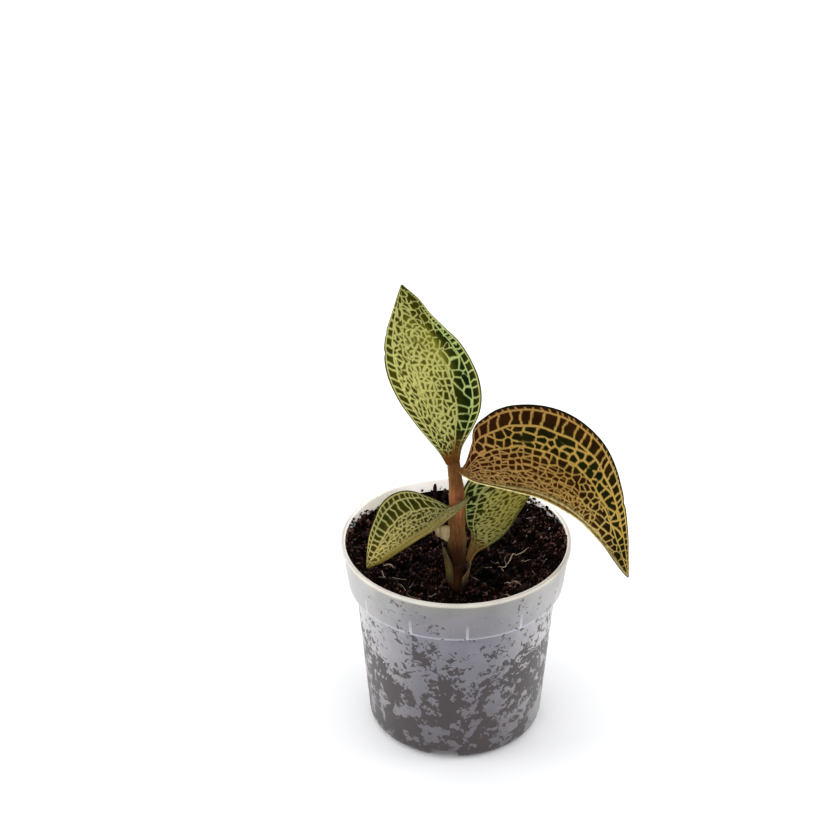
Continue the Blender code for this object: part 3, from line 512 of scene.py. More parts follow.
def ladder_cover(along, across, fraction, slim, seed, ladder):
    """Rungs between two long veins."""
    inner, outer, spacing, slant, half_width, reach = ladder
    middle = along[:, int((inner + outer) / 2 * (along.shape[1] - 1))]
    place = (fraction - inner) / (outer - inner)
    size = across[:, -1:] * (outer - inner)
    steps = []
    mark = 0
    while mark < middle[-1]:
        local = np.interp(mark, middle, size[:, 0]) / size.max()
        mark += (spacing * (0.45 + 0.55 * local)
                 * (0.72 + 0.56 * hashed(len(steps), 3, seed)))
        steps.append(mark)
    steps = np.array(steps)
    lean = np.tan(np.radians(slant))
    offset = (place - 0.5) * size
    here = middle[:, None] + 0 * along
    nearest = np.searchsorted(steps, here - lean * offset)
    cover = np.zeros_like(along)
    for shift in (-2, -1, 0, 1):
        index = np.clip(nearest + shift, 0, len(steps) - 1)
        own_lean = lean + 0.35 * (hashed(index, 5, seed) - 0.5)
        arch = np.sin(math.pi * np.clip(place, 0, 1))
        bow = 0.16 * (hashed(index, 7, seed) - 0.5) * arch * size
        bow = bow + 0.09 * (hashed(index, 8, seed) - 0.5) * np.sin(3 * math.pi * place) * size
        distance = np.abs(here - steps[index] - own_lean * offset - bow)
        distance = distance * np.cos(np.arctan(own_lean))
        ends = reach[0] + (reach[1] - reach[0]) * hashed(index, 11, seed)
        cover = np.maximum(cover, line_cover(distance, half_width * slim)
                           * fading(place, ends - 0.05, ends + 0.08))
    return cover * ((place >= 0) & (place <= 1))


def net_cover(along, across, fraction, slim, seed, sign, cells):
    """Many-sided cells between two fractions of the width.

    Cells next to the midrib run on across it, so both halves count them from the midrib.
    """
    inner, outer, length, height, half_width, broken, lean = cells
    column = int((inner + outer) / 2 * (along.shape[1] - 1)) if inner > 0 else 0
    b = sign * across / height
    a = along[:, column, None] / length + lean * b
    a = a + 0.6 * (patches(a * 0.7, b * 0.7, seed + 20) - 0.5)
    b = b + 0.6 * (patches(a * 0.9, b * 0.8, seed + 25) - 0.5)
    sites, gaps = [], []
    for step_a in (-2, -1, 0, 1, 2):
        for step_b in (-1, 0, 1):
            ia, ib = np.floor(a) + step_a, np.floor(b) + step_b
            sa = ia + 0.5 + CELL_JITTER * (hashed(ia, ib, seed) - 0.5)
            sb = ib + 0.5 + CELL_JITTER * (hashed(ia, ib, seed + 9) - 0.5)
            sites.append((sa, sb))
            gaps.append(((a - sa) * length) ** 2 + ((b - sb) * height) ** 2)
    nearest = np.argsort(gaps, axis=0)[:2]
    gap = np.take_along_axis(np.array(gaps), nearest, 0)
    site = np.take_along_axis(np.array(sites), nearest[:, None], 0)
    apart = np.hypot((site[0, 0] - site[1, 0]) * length, (site[0, 1] - site[1, 1]) * height)
    distance = (gap[1] - gap[0]) / np.maximum(2 * apart, 1e-6)
    gone = np.clip((patches(a * 1.3, b * 1.3, seed + 31) - broken) / 0.12, 0, 1)
    swell = 0.7 + 0.6 * patches(a * 0.35, b * 0.35, seed + 41)
    cover = line_cover(distance, half_width * slim * swell * (0.35 + 0.65 * gone)) * gone
    return cover * ((fraction >= inner) & (fraction <= outer))


def half_net(grid, net, sign):
    """Cover of all veins over one half of a leaf, from its own plan of long veins and cells."""
    first_seed, long_veins, ladders, nets = net
    along, across = half_measures(grid)
    rows, columns = along.shape
    where = np.linspace(0, 1, rows)[:, None]
    fraction = np.linspace(0, 1, columns)[None, :] + 0 * along
    wobble = 0.012 * np.sin(where * 31 + 2) + 0.008 * np.sin(where * 67 + fraction * 9)
    fraction = fraction + wobble * np.sin(math.pi * fraction)
    width = across[:, -1:]
    slim = (np.clip(width / (TIP_SLIMMING * width.max()), 0.5, 1)
            * (0.75 + 0.25 * np.clip(5 * where, 0, 1)))
    cover = np.zeros_like(along)
    for place, half_width, start, end in long_veins:
        distance = np.abs(fraction - place) * width
        lives = fading(where, end, end + 0.12) * fading(-where, -start, -start + 0.08)
        vein = line_cover(distance, half_width * slim * (0.3 + 0.7 * lives)) * lives
        cover = np.maximum(cover, vein)
    for number, ladder in enumerate(ladders):
        rungs = ladder_cover(along, across, fraction, slim, first_seed + number, ladder)
        cover = np.maximum(cover, rungs)
    for number, (inner, outer, start, end, *size) in enumerate(nets):
        seed = first_seed + 50 + number if inner > 0 else JOINED_SEED + round(10 * start)
        cells = net_cover(along, across, fraction, slim, seed, sign, (inner, outer, *size))
        cover = np.maximum(cover, cells * (where >= start) * (where < end))
    return cover * np.clip((1 - fraction) * width / MARGIN_BAND, 0, 1)


# ------------------------ leaves: mesh

ROUGH_ROWS = 60                  # enough to measure a leaf's length
FINE_STEP = 0.21                 # mm between points on a leaf's upper side
COARSE = 5                       # fine steps to one step on its underside
MARGIN_THICKNESS = 0.30          # mm
CELL_RISE = 0.05                 # mm, the velvety cells stand this much above the veins
WAVES = 0.16                     # mm, the slight waviness of the whole blade
WAVE_SIZE = 7                    # mm
BARE_EDGE = 0.08                 # share of the half width without relief at the margin


def leaf_grid(name):
    """A leaf's middle surface with its veins, its places across and its zones, as one grid."""
    leaf = LEAVES[name]
    length = half_measures(leaf_half(leaf, "left", ROUGH_ROWS, 2))[0][-1, 0]
    rows = int(length / FINE_STEP) // COARSE * COARSE + 1
    halves = []
    for side, sign in (("left", -1), ("right", 1)):
        widest = max(value for place, value in leaf[side]["width"])
        columns = max(int(widest / FINE_STEP) // COARSE * COARSE, 4 * COARSE) + 1
        grid = leaf_half(leaf, side, rows, columns)
        cover = half_net(grid, NETS[name, side], sign)
        out = np.tile(np.linspace(0, 1, columns), (rows, 1))
        halves.append((grid, cover, out, leaf_zones(name, side, out)))
    return [np.concatenate([left[:, :0:-1], right], axis=1) for left, right in zip(*halves)]


def leaf_zones(name, side, out):
    """Soft patches on a half leaf: dark cells, flush, stalk colour and pale edge, from 0 to 1. On
    the upper leaf the dark cells are painted shade and the flush painted glare.
    """
    where = np.linspace(0, 1, len(out))[:, None]
    zones = np.zeros(out.shape + (4,))
    for channel, spots in enumerate(ZONES[name]):
        for half, along, spread, across, breadth, strength in spots:
            if half in (side, "both"):
                spot = np.exp(-((where - along) / spread) ** 4 - ((out - across) / breadth) ** 2)
                zones[..., channel] = np.maximum(zones[..., channel], strength * spot)
    return zones


def shell(name, upper, lower):
    """A closed shell between two grids in mm; the lower one keeps only every coarse step."""
    lower = lower[::COARSE, ::COARSE]
    rows, columns = upper.shape[:2]
    low_rows, low_columns = lower.shape[:2]
    first = rows * columns
    faces = []
    for start, tall, wide in ((0, rows, columns), (first, low_rows, low_columns)):
        corners = (0, wide, wide + 1, 1) if start else (0, 1, wide + 1, wide)
        faces += [tuple(start + i * wide + j + corner for corner in corners)
                  for i in range(tall - 1) for j in range(wide - 1)]

    def seam(number, fine_start, fine_step, low_start, low_step, upper_first):
        """One face between a coarse step of the lower grid's edge and the upper grid's."""
        fine = [fine_start + (number * COARSE + k) * fine_step for k in range(COARSE + 1)]
        a = low_start + number * low_step
        b = a + low_step
        faces.append(tuple(fine + [b, a] if upper_first else fine[::-1] + [a, b]))

    for i in range(low_rows - 1):
        seam(i, 0, columns, first, low_columns, True)
        seam(i, columns - 1, columns, first + low_columns - 1, low_columns, False)
    for j in range(low_columns - 1):
        seam(j, 0, 1, first, 1, False)
        seam(j, (rows - 1) * columns, 1, first + (low_rows - 1) * low_columns, 1, True)
    points = np.concatenate([upper.reshape(-1, 3), lower.reshape(-1, 3)]) * MM
    piece = mesh_piece(name, points, faces)
    piece.data.shade_smooth()
    return piece


def face_on(grid):
    """Which way each point of a grid faces."""
    return unit(np.cross(np.gradient(grid, axis=1), np.gradient(grid, axis=0)))


def make_leaf(name, material):
    """One leaf: netted upper side in fine relief, plain underside, thick along the midrib."""
    grid, cover, out, zones = leaf_grid(name)
    where = np.linspace(0, 1, len(grid))[:, None] + 0 * out
    rib = (LEAVES[name]["stalk_thickness"] - MARGIN_THICKNESS) * (1 - where) ** 2
    thickness = MARGIN_THICKNESS + rib * (1 - out) ** 2
    settle = np.clip((1 - out) / BARE_EDGE, 0, 1)
    x, z = grid[..., 0] / WAVE_SIZE, grid[..., 2] / WAVE_SIZE
    waves = WAVES * (patches(x + 3, z, 5) - 0.5) * settle
    rise = CELL_RISE * (1 - cover) * settle
    normal = face_on(grid)
    piece = shell(f"{name}_blade",
                  grid + normal * (thickness / 2 + rise + waves - CELL_RISE)[..., None],
                  grid - normal * (thickness / 2 - waves)[..., None])
    upper = np.stack([cover, out, where, np.ones_like(out)], axis=-1)
    lower = upper * (0, 1, 1, 0)
    for label, top, below in (("net", upper, lower), ("zones", zones, zones)):
        values = [top.reshape(-1, 4), below[::COARSE, ::COARSE].reshape(-1, 4)]
        store(piece, label, "FLOAT_COLOR", "color", np.concatenate(values).ravel())
    return finish_piece(piece, material, [name])


# Soft patches: for dark cells, for a pale flush, for stalk colour and for a pale edge, each a
# list of (half, place along, spread along, place across, spread across, strength), as fractions
ZONES = {
    # On the upper leaf the dark cells are painted shade, where its right half is turned from the
    # light, and the pale flush is painted glare
    "leaf_upper": (
        [("right", 0.34, 0.28, 0.62, 0.3, 1), ("right", 0.62, 0.14, 0.75, 0.25, 1)],
        [("left", 0.42, 0.25, 0.15, 0.35, 0.25), ("left", 0.74, 0.12, 0.2, 0.3, 0.35),
         ("right", 0.62, 0.14, 0.24, 0.15, 0.75), ("both", 0.66, 0.12, 0, 0.14, 0.5)],
        [("right", 0, 0.125, 0, 1.6, 1), ("both", 0, 0.075, 0, 9, 1)], []),
    "leaf_right": (
        [("left", 0.85, 0.28, 0.7, 0.45, 1), ("left", 0.5, 0.33, 0.62, 0.2, 1)],
        [("left", 0.2, 0.3, 0, 0.25, 0.25), ("left", 0.55, 0.3, 0, 0.2, 0.2)],
        [("both", 0, 0.045, 0, 9, 1)],
        [("left", 0.3, 0.6, 0, 0.03, 0.9), ("right", 0.2, 0.5, 0, 0.12, 0.8),
         ("right", 0.2, 0.42, 1, 0.12, 1)]),
    "leaf_lower_left": (
        [("right", 0.5, 0.3, 0.74, 0.14, 0.8)], [("right", 0.85, 0.25, 0.1, 0.4, 0.3)], [], []),
    "leaf_back": (
        [("left", 0.45, 0.35, 0.8, 0.22, 1)], [("left", 0.6, 0.35, 0.1, 0.3, 0.3)],
        [("both", 0, 0.17, 0, 9, 1)], []),
}

# Living leaf, grown: for each leaf its cells from stalk to tip, its dark cells, its veins from
# stalk to tip, its veins among dark cells, the flush between fine veins, its stalk, its margin
# and its underside from stalk to tip
# On the upper leaf the dark cells and the veins among them are painted shade, and the flush is
# painted glare
LEAF_COLOURS = {
    "leaf_upper": (
        ("#221F04", "#363504", "#2B2C02"), "#0A1A02", ("#A2A15C", "#B2AF64", "#A5A35E"),
        "#9AA864", "#7E7B24", "#563412", "#2E3410", ("#6A6A40", "#7C8450", "#808850")),
    "leaf_right": (
        ("#2C1104", "#281203", "#1A1A04"), "#101602", ("#9C7444", "#A88440", "#CDB974"),
        "#AC8C44", "#6A3C04", "#5C3A1A", "#161206", ("#B09A60", "#A89C60", "#505430")),
    "leaf_lower_left": (
        ("#302C06", "#302B04", "#34320A"), "#232401", ("#7F7D50", "#9C935B", "#AC9C5C"),
        "#8C8E58", "#7C7430", "#70684A", "#2C3A10", ("#6F6841", "#948446", "#948034")),
    "leaf_back": (
        ("#2A2804", "#38340A", "#4A4210"), "#122406", ("#A6A468", "#B2AC62", "#A89C44"),
        "#A4AA6C", "#7E7826", "#70542C", "#2C3010", ("#5A6038", "#6A6C40", "#6C6A38")),
}
PALE_EDGE = "#D6C888"


def leaf_material(name):
    """Velvety living leaf: tiny domed cells sparkle faintly, and the pale veins are smoother."""
    cells, dark, veins, cool_veins, flush, stalk, margin, under = LEAF_COLOURS[name]
    look = Look(f"velvet_leaf_{name}", Roughness=0.6, IOR=1.4, Specular_IOR_Level=0.02)
    net = look.add("Attribute", {}, "Color", attribute_name="net")
    zones = look.add("Attribute", {}, "Color", attribute_name="zones")
    vein, out, along = look.add("SeparateColor", {0: net}).node.outputs
    dark_and_shaded_zone, flush_and_glare_zone, stalk_zone = look.add("SeparateColor", {0: zones}).node.outputs
    place = look.place()
    broad = look.add("TexNoise", {"Vector": place, "Scale": 0.35, "Detail": 3})
    grain = look.add("TexNoise", {"Vector": place, "Scale": 2.2, "Detail": 3})

    def from_stalk_to_tip(tones):
        """A tone that changes along the leaf."""
        return look.add("ValToRGB", {0: along}, stops=zip((0.1, 0.5, 0.9), tones))

    # The upper face: cells, the net of veins, the margin
    # Painted shade and glare: on the upper leaf the dark zone is painted shade and the flush zone
    # painted glare
    cell = look.add("Mix", {0: dark_and_shaded_zone, 6: from_stalk_to_tip(cells), 7: dark}, **COLOURS)
    cell = look.shade(cell, broad, 0.65, 1.35)
    cell = look.add("Mix", {0: flush_and_glare_zone, 6: cell, 7: flush}, **COLOURS)
    line = look.shade(from_stalk_to_tip(veins), grain, 0.8, 1.15)
    line = look.add("Mix", {0: flush_and_glare_zone, 6: line, 7: veins[2]}, **COLOURS)
    line = look.add("Mix", {0: dark_and_shaded_zone, 6: line, 7: cool_veins}, **COLOURS)
    upper = look.add("Mix", {0: vein, 6: cell, 7: line}, **COLOURS)
    rim = look.add("MapRange", {0: out, 1: 0.965, 2: 0.985})
    upper = look.add("Mix", {0: rim, 6: upper, 7: margin}, **COLOURS)
    # The underside: streaks along the leaf and a faint web
    along_leaf = look.add("Mapping", {"Vector": net, "Scale": (0, 10, 3)})
    streaks = look.add("TexNoise", {"Vector": along_leaf, "Scale": 1, "Detail": 4})
    below = look.shade(from_stalk_to_tip(under), streaks, 0.6, 1.35)
    below = look.shade(below, grain, 0.8, 1.15)
    web = look.add("TexVoronoi", {"Vector": place, "Scale": 0.85}, "Distance",
                   feature="DISTANCE_TO_EDGE")
    below = look.shade(below, web, 1.25, 0.8, 0.04, 0.14)
    both = look.add("Mix", {0: net.node.outputs["Alpha"], 6: below, 7: upper}, **COLOURS)
    # The edge and the stalk
    along_edge = look.add("Mapping", {"Vector": net, "Scale": (0, 0, 60)})
    dashes = look.add("TexNoise", {"Vector": along_edge, "Scale": 1, "Detail": 1})
    edge = look.shade(PALE_EDGE, dashes, 0.45, 1.25)
    both = look.add("Mix", {0: zones.node.outputs["Alpha"], 6: both, 7: edge}, **COLOURS)
    stalk = look.shade(stalk, streaks, 0.7, 1.3)
    colour = look.add("Mix", {0: stalk_zone, 6: both, 7: stalk}, **COLOURS)
    domes = look.add("TexVoronoi", {"Vector": place, "Scale": 5}, "Distance")
    return look.finish(colour, domes, 0.25, 0.12)


# ------------------------ pot

def body_radius(height):
    """Outer radius of the pot's tapered body."""
    return BODY_FOOT_RADIUS + (BODY_TOP_RADIUS - BODY_FOOT_RADIUS) * height / SHOULDER_HEIGHT


def collar_radius(height):
    """Outer radius of the collar above the shoulder."""
    fraction = (height - SHOULDER_HEIGHT) / (POT_HEIGHT - LIP_DEPTH - SHOULDER_HEIGHT)
    return COLLAR_FOOT_RADIUS + (COLLAR_TOP_RADIUS - COLLAR_FOOT_RADIUS) * min(fraction, 1)


def arc(x, y, radius, start, end, steps):
    """Points on a rounded corner of the pot's section, between two angles in degrees."""
    return [(x + radius * math.cos(math.radians(a)), y + radius * math.sin(math.radians(a)))
            for a in np.linspace(start, end, steps)]


def foot_arc(inset, start, end, steps):
    """The rounding at the foot, inset by some thickness."""
    middle = body_radius(FOOT_ROUNDING) - FOOT_ROUNDING
    return arc(middle, FOOT_ROUNDING, FOOT_ROUNDING - inset, start, end, steps)


def pot_section():
    """Half of the pot's section, from the middle of its underside to the middle of its floor."""
    over_foot, under_shoulder = 8 * MM, SHOULDER_HEIGHT - 2 * MM
    neck = POT_HEIGHT - LIP_DEPTH
    under_neck = neck - 0.5 * MM
    ledge = SHOULDER_HEIGHT + WALL
    bend, curl = SHOULDER_ROUNDING, LIP_ROUNDING
    top = POT_HEIGHT - curl
    return [
        (0, 0), (CHANNEL_INNER_END - 2 * MM, 0), *foot_arc(0, -90, 0, 9),
        *[(body_radius(h), h) for h in np.linspace(over_foot, under_shoulder, 8)],
        *arc(BODY_TOP_RADIUS + bend, SHOULDER_HEIGHT - bend, bend, 180, 90, 4),
        *arc(COLLAR_FOOT_RADIUS - bend, SHOULDER_HEIGHT + bend, bend, -90, 0, 5),
        *[(collar_radius(h), h) for h in np.linspace(SHOULDER_HEIGHT + 2 * MM, under_neck, 6)],
        *arc(LIP_RADIUS - curl, neck + curl, curl, -60, 0, 4),
        *arc(LIP_RADIUS - curl, top, curl, 0, 90, 5),
        *arc(LIP_RADIUS - LIP_WIDTH + curl, top, curl, 90, 180, 5),
        *[(collar_radius(h) - WALL, h) for h in np.linspace(under_neck, ledge, 6)],
        (BODY_TOP_RADIUS - WALL, ledge),
        *[(body_radius(h) - WALL, h) for h in np.linspace(under_shoulder, over_foot, 6)],
        *foot_arc(WALL, 0, -90, 6), (0, FLOOR)]


def spin_up(name, section):
    """Spin a section about the pot's axis into a closed shell."""
    edges = [(k, k + 1) for k in range(len(section) - 1)]
    piece = mesh_piece(name, [(r, 0, z) for r, z in section], [], edges)
    pick(piece)
    bpy.ops.object.mode_set(mode="EDIT")
    bpy.ops.mesh.select_all(action="SELECT")
    bpy.ops.mesh.spin(steps=POT_SEGMENTS, angle=TURN, center=(0, 0, 0), axis=(0, 0, 1))
    bpy.ops.mesh.select_all(action="SELECT")
    bpy.ops.mesh.remove_doubles(threshold=0.02 * MM)
    bpy.ops.mesh.normals_make_consistent(inside=False)
    bpy.ops.object.mode_set(mode="OBJECT")
    return piece


def block(low, high, turn, corner):
    """A block with rounded edges between two corners, turned about the pot's axis."""
    deselect()
    bpy.ops.mesh.primitive_cube_add(size=1)
    piece = bpy.context.object
    piece.scale = [h - l for l, h in zip(low, high)]
    piece.location = [(h + l) / 2 for l, h in zip(low, high)]
    bpy.ops.object.transform_apply()
    bevel = piece.modifiers.new("rounding", "BEVEL")
    bevel.width = corner
    bevel.segments = 3
    bpy.ops.object.modifier_apply(modifier="rounding")
    piece.rotation_euler = (0, 0, turn)
    bpy.ops.object.transform_apply()
    return piece


def hole(turn):
    """A short rod where a drain hole goes."""
    deselect()
    place = (DRAIN_HOLE_PLACE * math.cos(turn), DRAIN_HOLE_PLACE * math.sin(turn), 2 * MM)
    bpy.ops.mesh.primitive_cylinder_add(vertices=32, radius=DRAIN_HOLE_RADIUS, depth=6 * MM,
                                        location=place)
    bpy.ops.object.transform_apply()
    return bpy.context.object


def gusset(turn):
    """A small three-cornered rib on the ledge inside the collar."""
    ledge = SHOULDER_HEIGHT + WALL * 0.5
    top = ledge + WALL * 0.5 + GUSSET_HEIGHT
    foot = collar_radius(ledge) - WALL * 0.5
    corners = [(foot, ledge), (collar_radius(top) - WALL * 0.5, top), (foot - GUSSET_REACH, ledge)]
    outward = np.array([math.cos(turn), math.sin(turn), 0])
    across = np.array([-math.sin(turn), math.cos(turn), 0]) * GUSSET_WIDTH / 2
    points = [outward * r + across * side + (0, 0, z) for side in (-1, 1) for r, z in corners]
    return mesh_piece("gusset", points,
                      [(0, 1, 2), (5, 4, 3), (0, 3, 4, 1), (1, 4, 5, 2), (2, 5, 3, 0)])


def joined(pieces):
    """Several separate shapes made one object."""
    pick(*pieces)
    bpy.ops.object.join()
    return pieces[0]


def combine(piece, operation, *tools):
    """Add, subtract or intersect each tool, and remove it."""
    for tool in tools:
        pick(piece)
        change = piece.modifiers.new("change", "BOOLEAN")
        change.operation = operation
        change.solver = "EXACT"
        change.object = tool
        bpy.ops.object.modifier_apply(modifier="change")
        bpy.data.objects.remove(tool)


def all_round(make, start, count):
    """One of something at each of a number of bearings round the pot, joined."""
    return joined([make(start + k * TURN / count) for k in range(count)])


def channel_roof(turn):
    """The raised floor over a drain channel."""
    side = CHANNEL_WIDTH / 2 + WALL
    return block((CHANNEL_INNER_END - WALL, -side, FLOOR * 0.5),
                 (BODY_FOOT_RADIUS - WALL * 0.5, side, CHANNEL_HEIGHT + FLOOR), turn, ROOF_CORNER)


def channel(turn):
    """The hollow of a drain channel, open below and at the foot."""
    side = CHANNEL_WIDTH / 2
    return block((CHANNEL_INNER_END, -side, -1.2 * MM), (LIP_RADIUS, side, CHANNEL_HEIGHT), turn,
                 CHANNEL_CORNER)


def make_pot(material):
    """The thin nursery pot, one moulding, with its drain channels and gussets."""
    pot = spin_up("nursery_pot", pot_section())
    roofs = all_round(channel_roof, CHANNEL_TURN, CHANNEL_COUNT)
    ribs = all_round(gusset, GUSSET_TURN, GUSSET_COUNT)
    over_foot = 8 * MM
    within = [(0, ROOF_SKIN), *foot_arc(ROOF_SKIN, -90, 0, 9),
              (body_radius(FOOT_ROUNDING) - ROOF_SKIN, over_foot), (0, over_foot)]
    combine(roofs, "INTERSECT", spin_up("envelope", within))
    combine(pot, "UNION", roofs, ribs)
    combine(pot, "DIFFERENCE", all_round(channel, CHANNEL_TURN, CHANNEL_COUNT),
            all_round(hole, CHANNEL_TURN, CHANNEL_COUNT))
    pick(pot)
    bpy.ops.object.shade_smooth_by_angle(angle=math.radians(32))
    return finish_piece(pot, material, ["pot"])


# Where the mix stands clear of the wall, or, below zero, presses on it: place and reach in mm,
# and how much
WALL_SPOTS = [((-19, -19, 35), 8, 0.10), ((-12, -24, 27), 6, 0.10),
              ((19, -20, 40), 8, 0.02), ((-1, -27, 43), 6, 0.03),
              ((-9, -26, 38), 6, -0.09), ((-8, -24, 9), 5, 0.05),
              ((-17.4, -25.7, 53), 7, -0.06), ((-6.5, -30.3, 50.5), 5, -0.05),
              ((17.1, -25.9, 52), 8, -0.06)]
WALL_SHADE_SPOT = (-21, 21, 58.5)     # mm, where the inside of the collar is painted in shade: a darker cream, with its glow dimmed
GLOW = 0.4                       # light that comes through the far wall


def pot_material():
    """Frosted polypropylene, injection moulded: milky and satin, darker where the mix is."""
    look = Look("frosted_polypropylene", Roughness=0.42, IOR=1.49, Subsurface_Weight=0.2,
                Subsurface_Scale=1 * MM, Emission_Color="#FFFCF6")
    place = look.place()
    x, y, height = look.add("SeparateXYZ", {0: place}).node.outputs
    tall = POT_HEIGHT / MM
    part = look.add("Math", {0: height, 1: 1 / tall}, operation="MULTIPLY")

    def up(*stops):
        """What changes up the pot; stops are (height in mm, number or colour)."""
        stops = [(level / tall, tone) for level, tone in stops]
        return look.add("ValToRGB", {0: part}, stops=stops)

    # Patches where the mix touches the wall, larger lower down
    broad = look.add("TexNoise", {"Vector": place, "Scale": 0.24, "Detail": 2.5,
                                  "Roughness": 0.55, "Distortion": 0.5})
    crumbs = look.add("TexNoise", {"Vector": place, "Scale": 0.62, "Detail": 2,
                                   "Roughness": 0.5, "Distortion": 1})
    share = up((0, 0.30), (22, 0.38), (36, 0.62), (46, 0.75), (59, 0.8))
    pattern = look.add("Mix", {0: share, 2: broad, 3: crumbs})
    level = up((0, 0.47), (20, 0.475), (34, 0.505), (42, 0.56), (45.5, 0.59), (47, 0.63),
               (52, 0.66), (59, 0.69))
    drift = look.add("TexNoise", {"Vector": place, "Scale": 0.055, "Detail": 1})
    drift = look.add("Math", {0: drift, 1: 0.22, 2: -0.11}, operation="MULTIPLY_ADD")
    level = look.add("Math", {0: level, 1: drift}, operation="ADD")
    for spot, reach, lift in WALL_SPOTS:
        away = look.add("VectorMath", {0: place, 1: spot}, "Value", operation="DISTANCE")
        raised = look.add("MapRange", {0: away, 1: reach, 2: 0.4 * reach, 4: lift})
        level = look.add("Math", {0: level, 1: raised}, operation="ADD")
    above = look.add("Math", {0: pattern, 1: level}, operation="SUBTRACT")
    touch = look.add("MapRange", {0: above, 1: -0.018, 2: 0.020})
    # Clear plastic, greyer in front than at the sides and darker towards the bottom. The paler
    # sides are painted light, standing in for lamps on the pot's left and right flanks, and the
    # pale band at the shoulder, near 46.3 mm, is a painted highlight
    front = up((0, "#5A565B"), (15, "#646066"), (34, "#6E6C73"), (44, "#74737B"),
               (45.6, "#7A7982"), (46.3, "#A8A7B0"), (47.2, "#77757B"), (54, "#7A787B"),
               (58.4, "#7E7D77"), (58.9, "#C8C2B8"))
    flank = up((0, "#757173"), (15, "#989494"), (34, "#B0ACAC"), (44, "#B1AEAF"),
               (45.6, "#B1AFB1"), (46.3, "#BEBCC2"), (47.2, "#A3A1A0"), (58.4, "#A8A6A2"),
               (58.9, "#C8C2B8"))
    # Painted light: side runs from 0 in front to 1 at the left and right flanks, which are painted
    # paler
    sideways = look.add("Math", {0: x, 1: 0.03}, operation="MULTIPLY")
    sideways = look.add("Math", {0: sideways, 1: sideways}, operation="MULTIPLY")
    side = look.add("MapRange", {0: sideways, 1: 0.10, 2: 0.64})
    clear = look.add("Mix", {0: side, 6: front, 7: flank}, **COLOURS)
    clouds = look.add("TexNoise", {"Vector": place, "Scale": 0.16, "Detail": 3})
    clear = look.shade(clear, clouds, 0.9, 1.07)
    wet = look.add("Mix", {0: crumbs, 6: "#30272B", 7: "#3B3132"}, **COLOURS)
    # Painted light: the wet patches are painted paler at the flanks too
    wet = look.add("Mix", {0: side, 6: wet, 7: "#403C3C"}, **COLOURS)
    wet = look.add("Mix", {0: up((40, 0), (48, 0.45)), 6: wet, 7: "#5A585E"}, **COLOURS)
    colour = look.add("Mix", {0: touch, 6: clear, 7: wet}, **COLOURS)
    # Pale lines where the gussets meet the collar
    spacing = TURN / GUSSET_COUNT
    turn = look.add("Math", {0: y, 1: x}, operation="ARCTAN2")
    cycles = look.add("Math", {0: turn, 1: 1 / spacing, 2: 20 - GUSSET_TURN / spacing},
                      operation="MULTIPLY_ADD")
    apart = look.add("Math", {0: cycles, 1: 0.5}, operation="PINGPONG")
    rib = look.add("MapRange", {0: apart, 1: 0.035, 2: 0.015})
    fade = up((46.2, 0), (46.8, 0.35), (50, 0.22), (52, 0))
    streak = look.add("Math", {0: rib, 1: fade}, operation="MULTIPLY")
    colour = look.add("Mix", {0: streak, 6: colour, 7: "#E6E4EE"}, **COLOURS)
    # The inside of the wall and the back of the lip, where light comes through
    facing = look.add("NewGeometry", {}, "Normal")
    outward = look.add("VectorMath", {0: place, 1: (1, 1, 0)}, operation="MULTIPLY")
    inward = look.add("VectorMath", {0: facing, 1: outward}, "Value", operation="DOT_PRODUCT")
    inside = look.add("MapRange", {0: inward, 1: -2, 2: -8})
    colour = look.add("Mix", {0: inside, 6: colour, 7: "#F2F0EA"}, **COLOURS)
    back = look.add("MapRange", {0: y, 1: 10, 2: 28})
    pale_lip = look.add("Math", {0: back, 1: up((58.2, 0), (58.8, 1))}, operation="MULTIPLY")
    colour = look.add("Mix", {0: pale_lip, 6: colour, 7: "#F8F7F4"}, **COLOURS)
    # Painted shade: near one spot at the back left, the inside of the collar is painted a darker
    # cream and its glow is dimmed
    away = look.add("VectorMath", {0: place, 1: WALL_SHADE_SPOT}, "Value", operation="DISTANCE")
    plain = look.add("MapRange", {0: away, 1: 4, 2: 12, 3: 0.3})
    stain = look.add("Math", {0: 1, 1: plain}, operation="SUBTRACT")
    stain = look.add("Math", {0: stain, 1: inside}, operation="MULTIPLY")
    colour = look.add("Mix", {0: stain, 6: colour, 7: "#E4E1CE"}, **COLOURS)
    glow = look.add("Math", {0: inside, 1: pale_lip}, operation="MAXIMUM")
    glow = look.add("Math", {0: back, 1: glow}, operation="MULTIPLY")
    glow = look.add("Math", {0: glow, 1: plain}, operation="MULTIPLY")
    glow = look.add("Math", {0: glow, 1: GLOW}, operation="MULTIPLY")
    look.put(look.shader.inputs["Emission Strength"], glow)
    frost = look.add("TexNoise", {"Vector": place, "Scale": 3.5, "Detail": 2})
    return look.finish(colour, frost, 0.15, 0.05)


# ------------------------ mix, crumbs and hairs

def soil_height(x, y):
    """Height of the mix in mm at a place in mm, as in the solids."""
    side = np.cos(2 * np.arctan2(y, x) - SOIL_HEAP_TURN)
    out = (x**2 + y**2) / SOIL_HEAP_REACH**2
    heap = (SOIL_HEAP_MEAN + SOIL_HEAP_SWING * side) * out**2
    from_mound = (x - MOUND_PLACE[0])**2 + (y - MOUND_PLACE[1])**2
    return (SOIL_HEIGHT + heap + MOUND_HEIGHT * np.exp(-from_mound / MOUND_SPREAD)
            + sum(high * np.sin(u * x + v * y + phase) for high, u, v, phase in SOIL_WAVES))


def mix_top(x, y):
    """Places in mm on the cloddy top of the mix."""
    return np.stack([x, y, soil_height(x, y) + lumpy(x, y)], axis=-1)


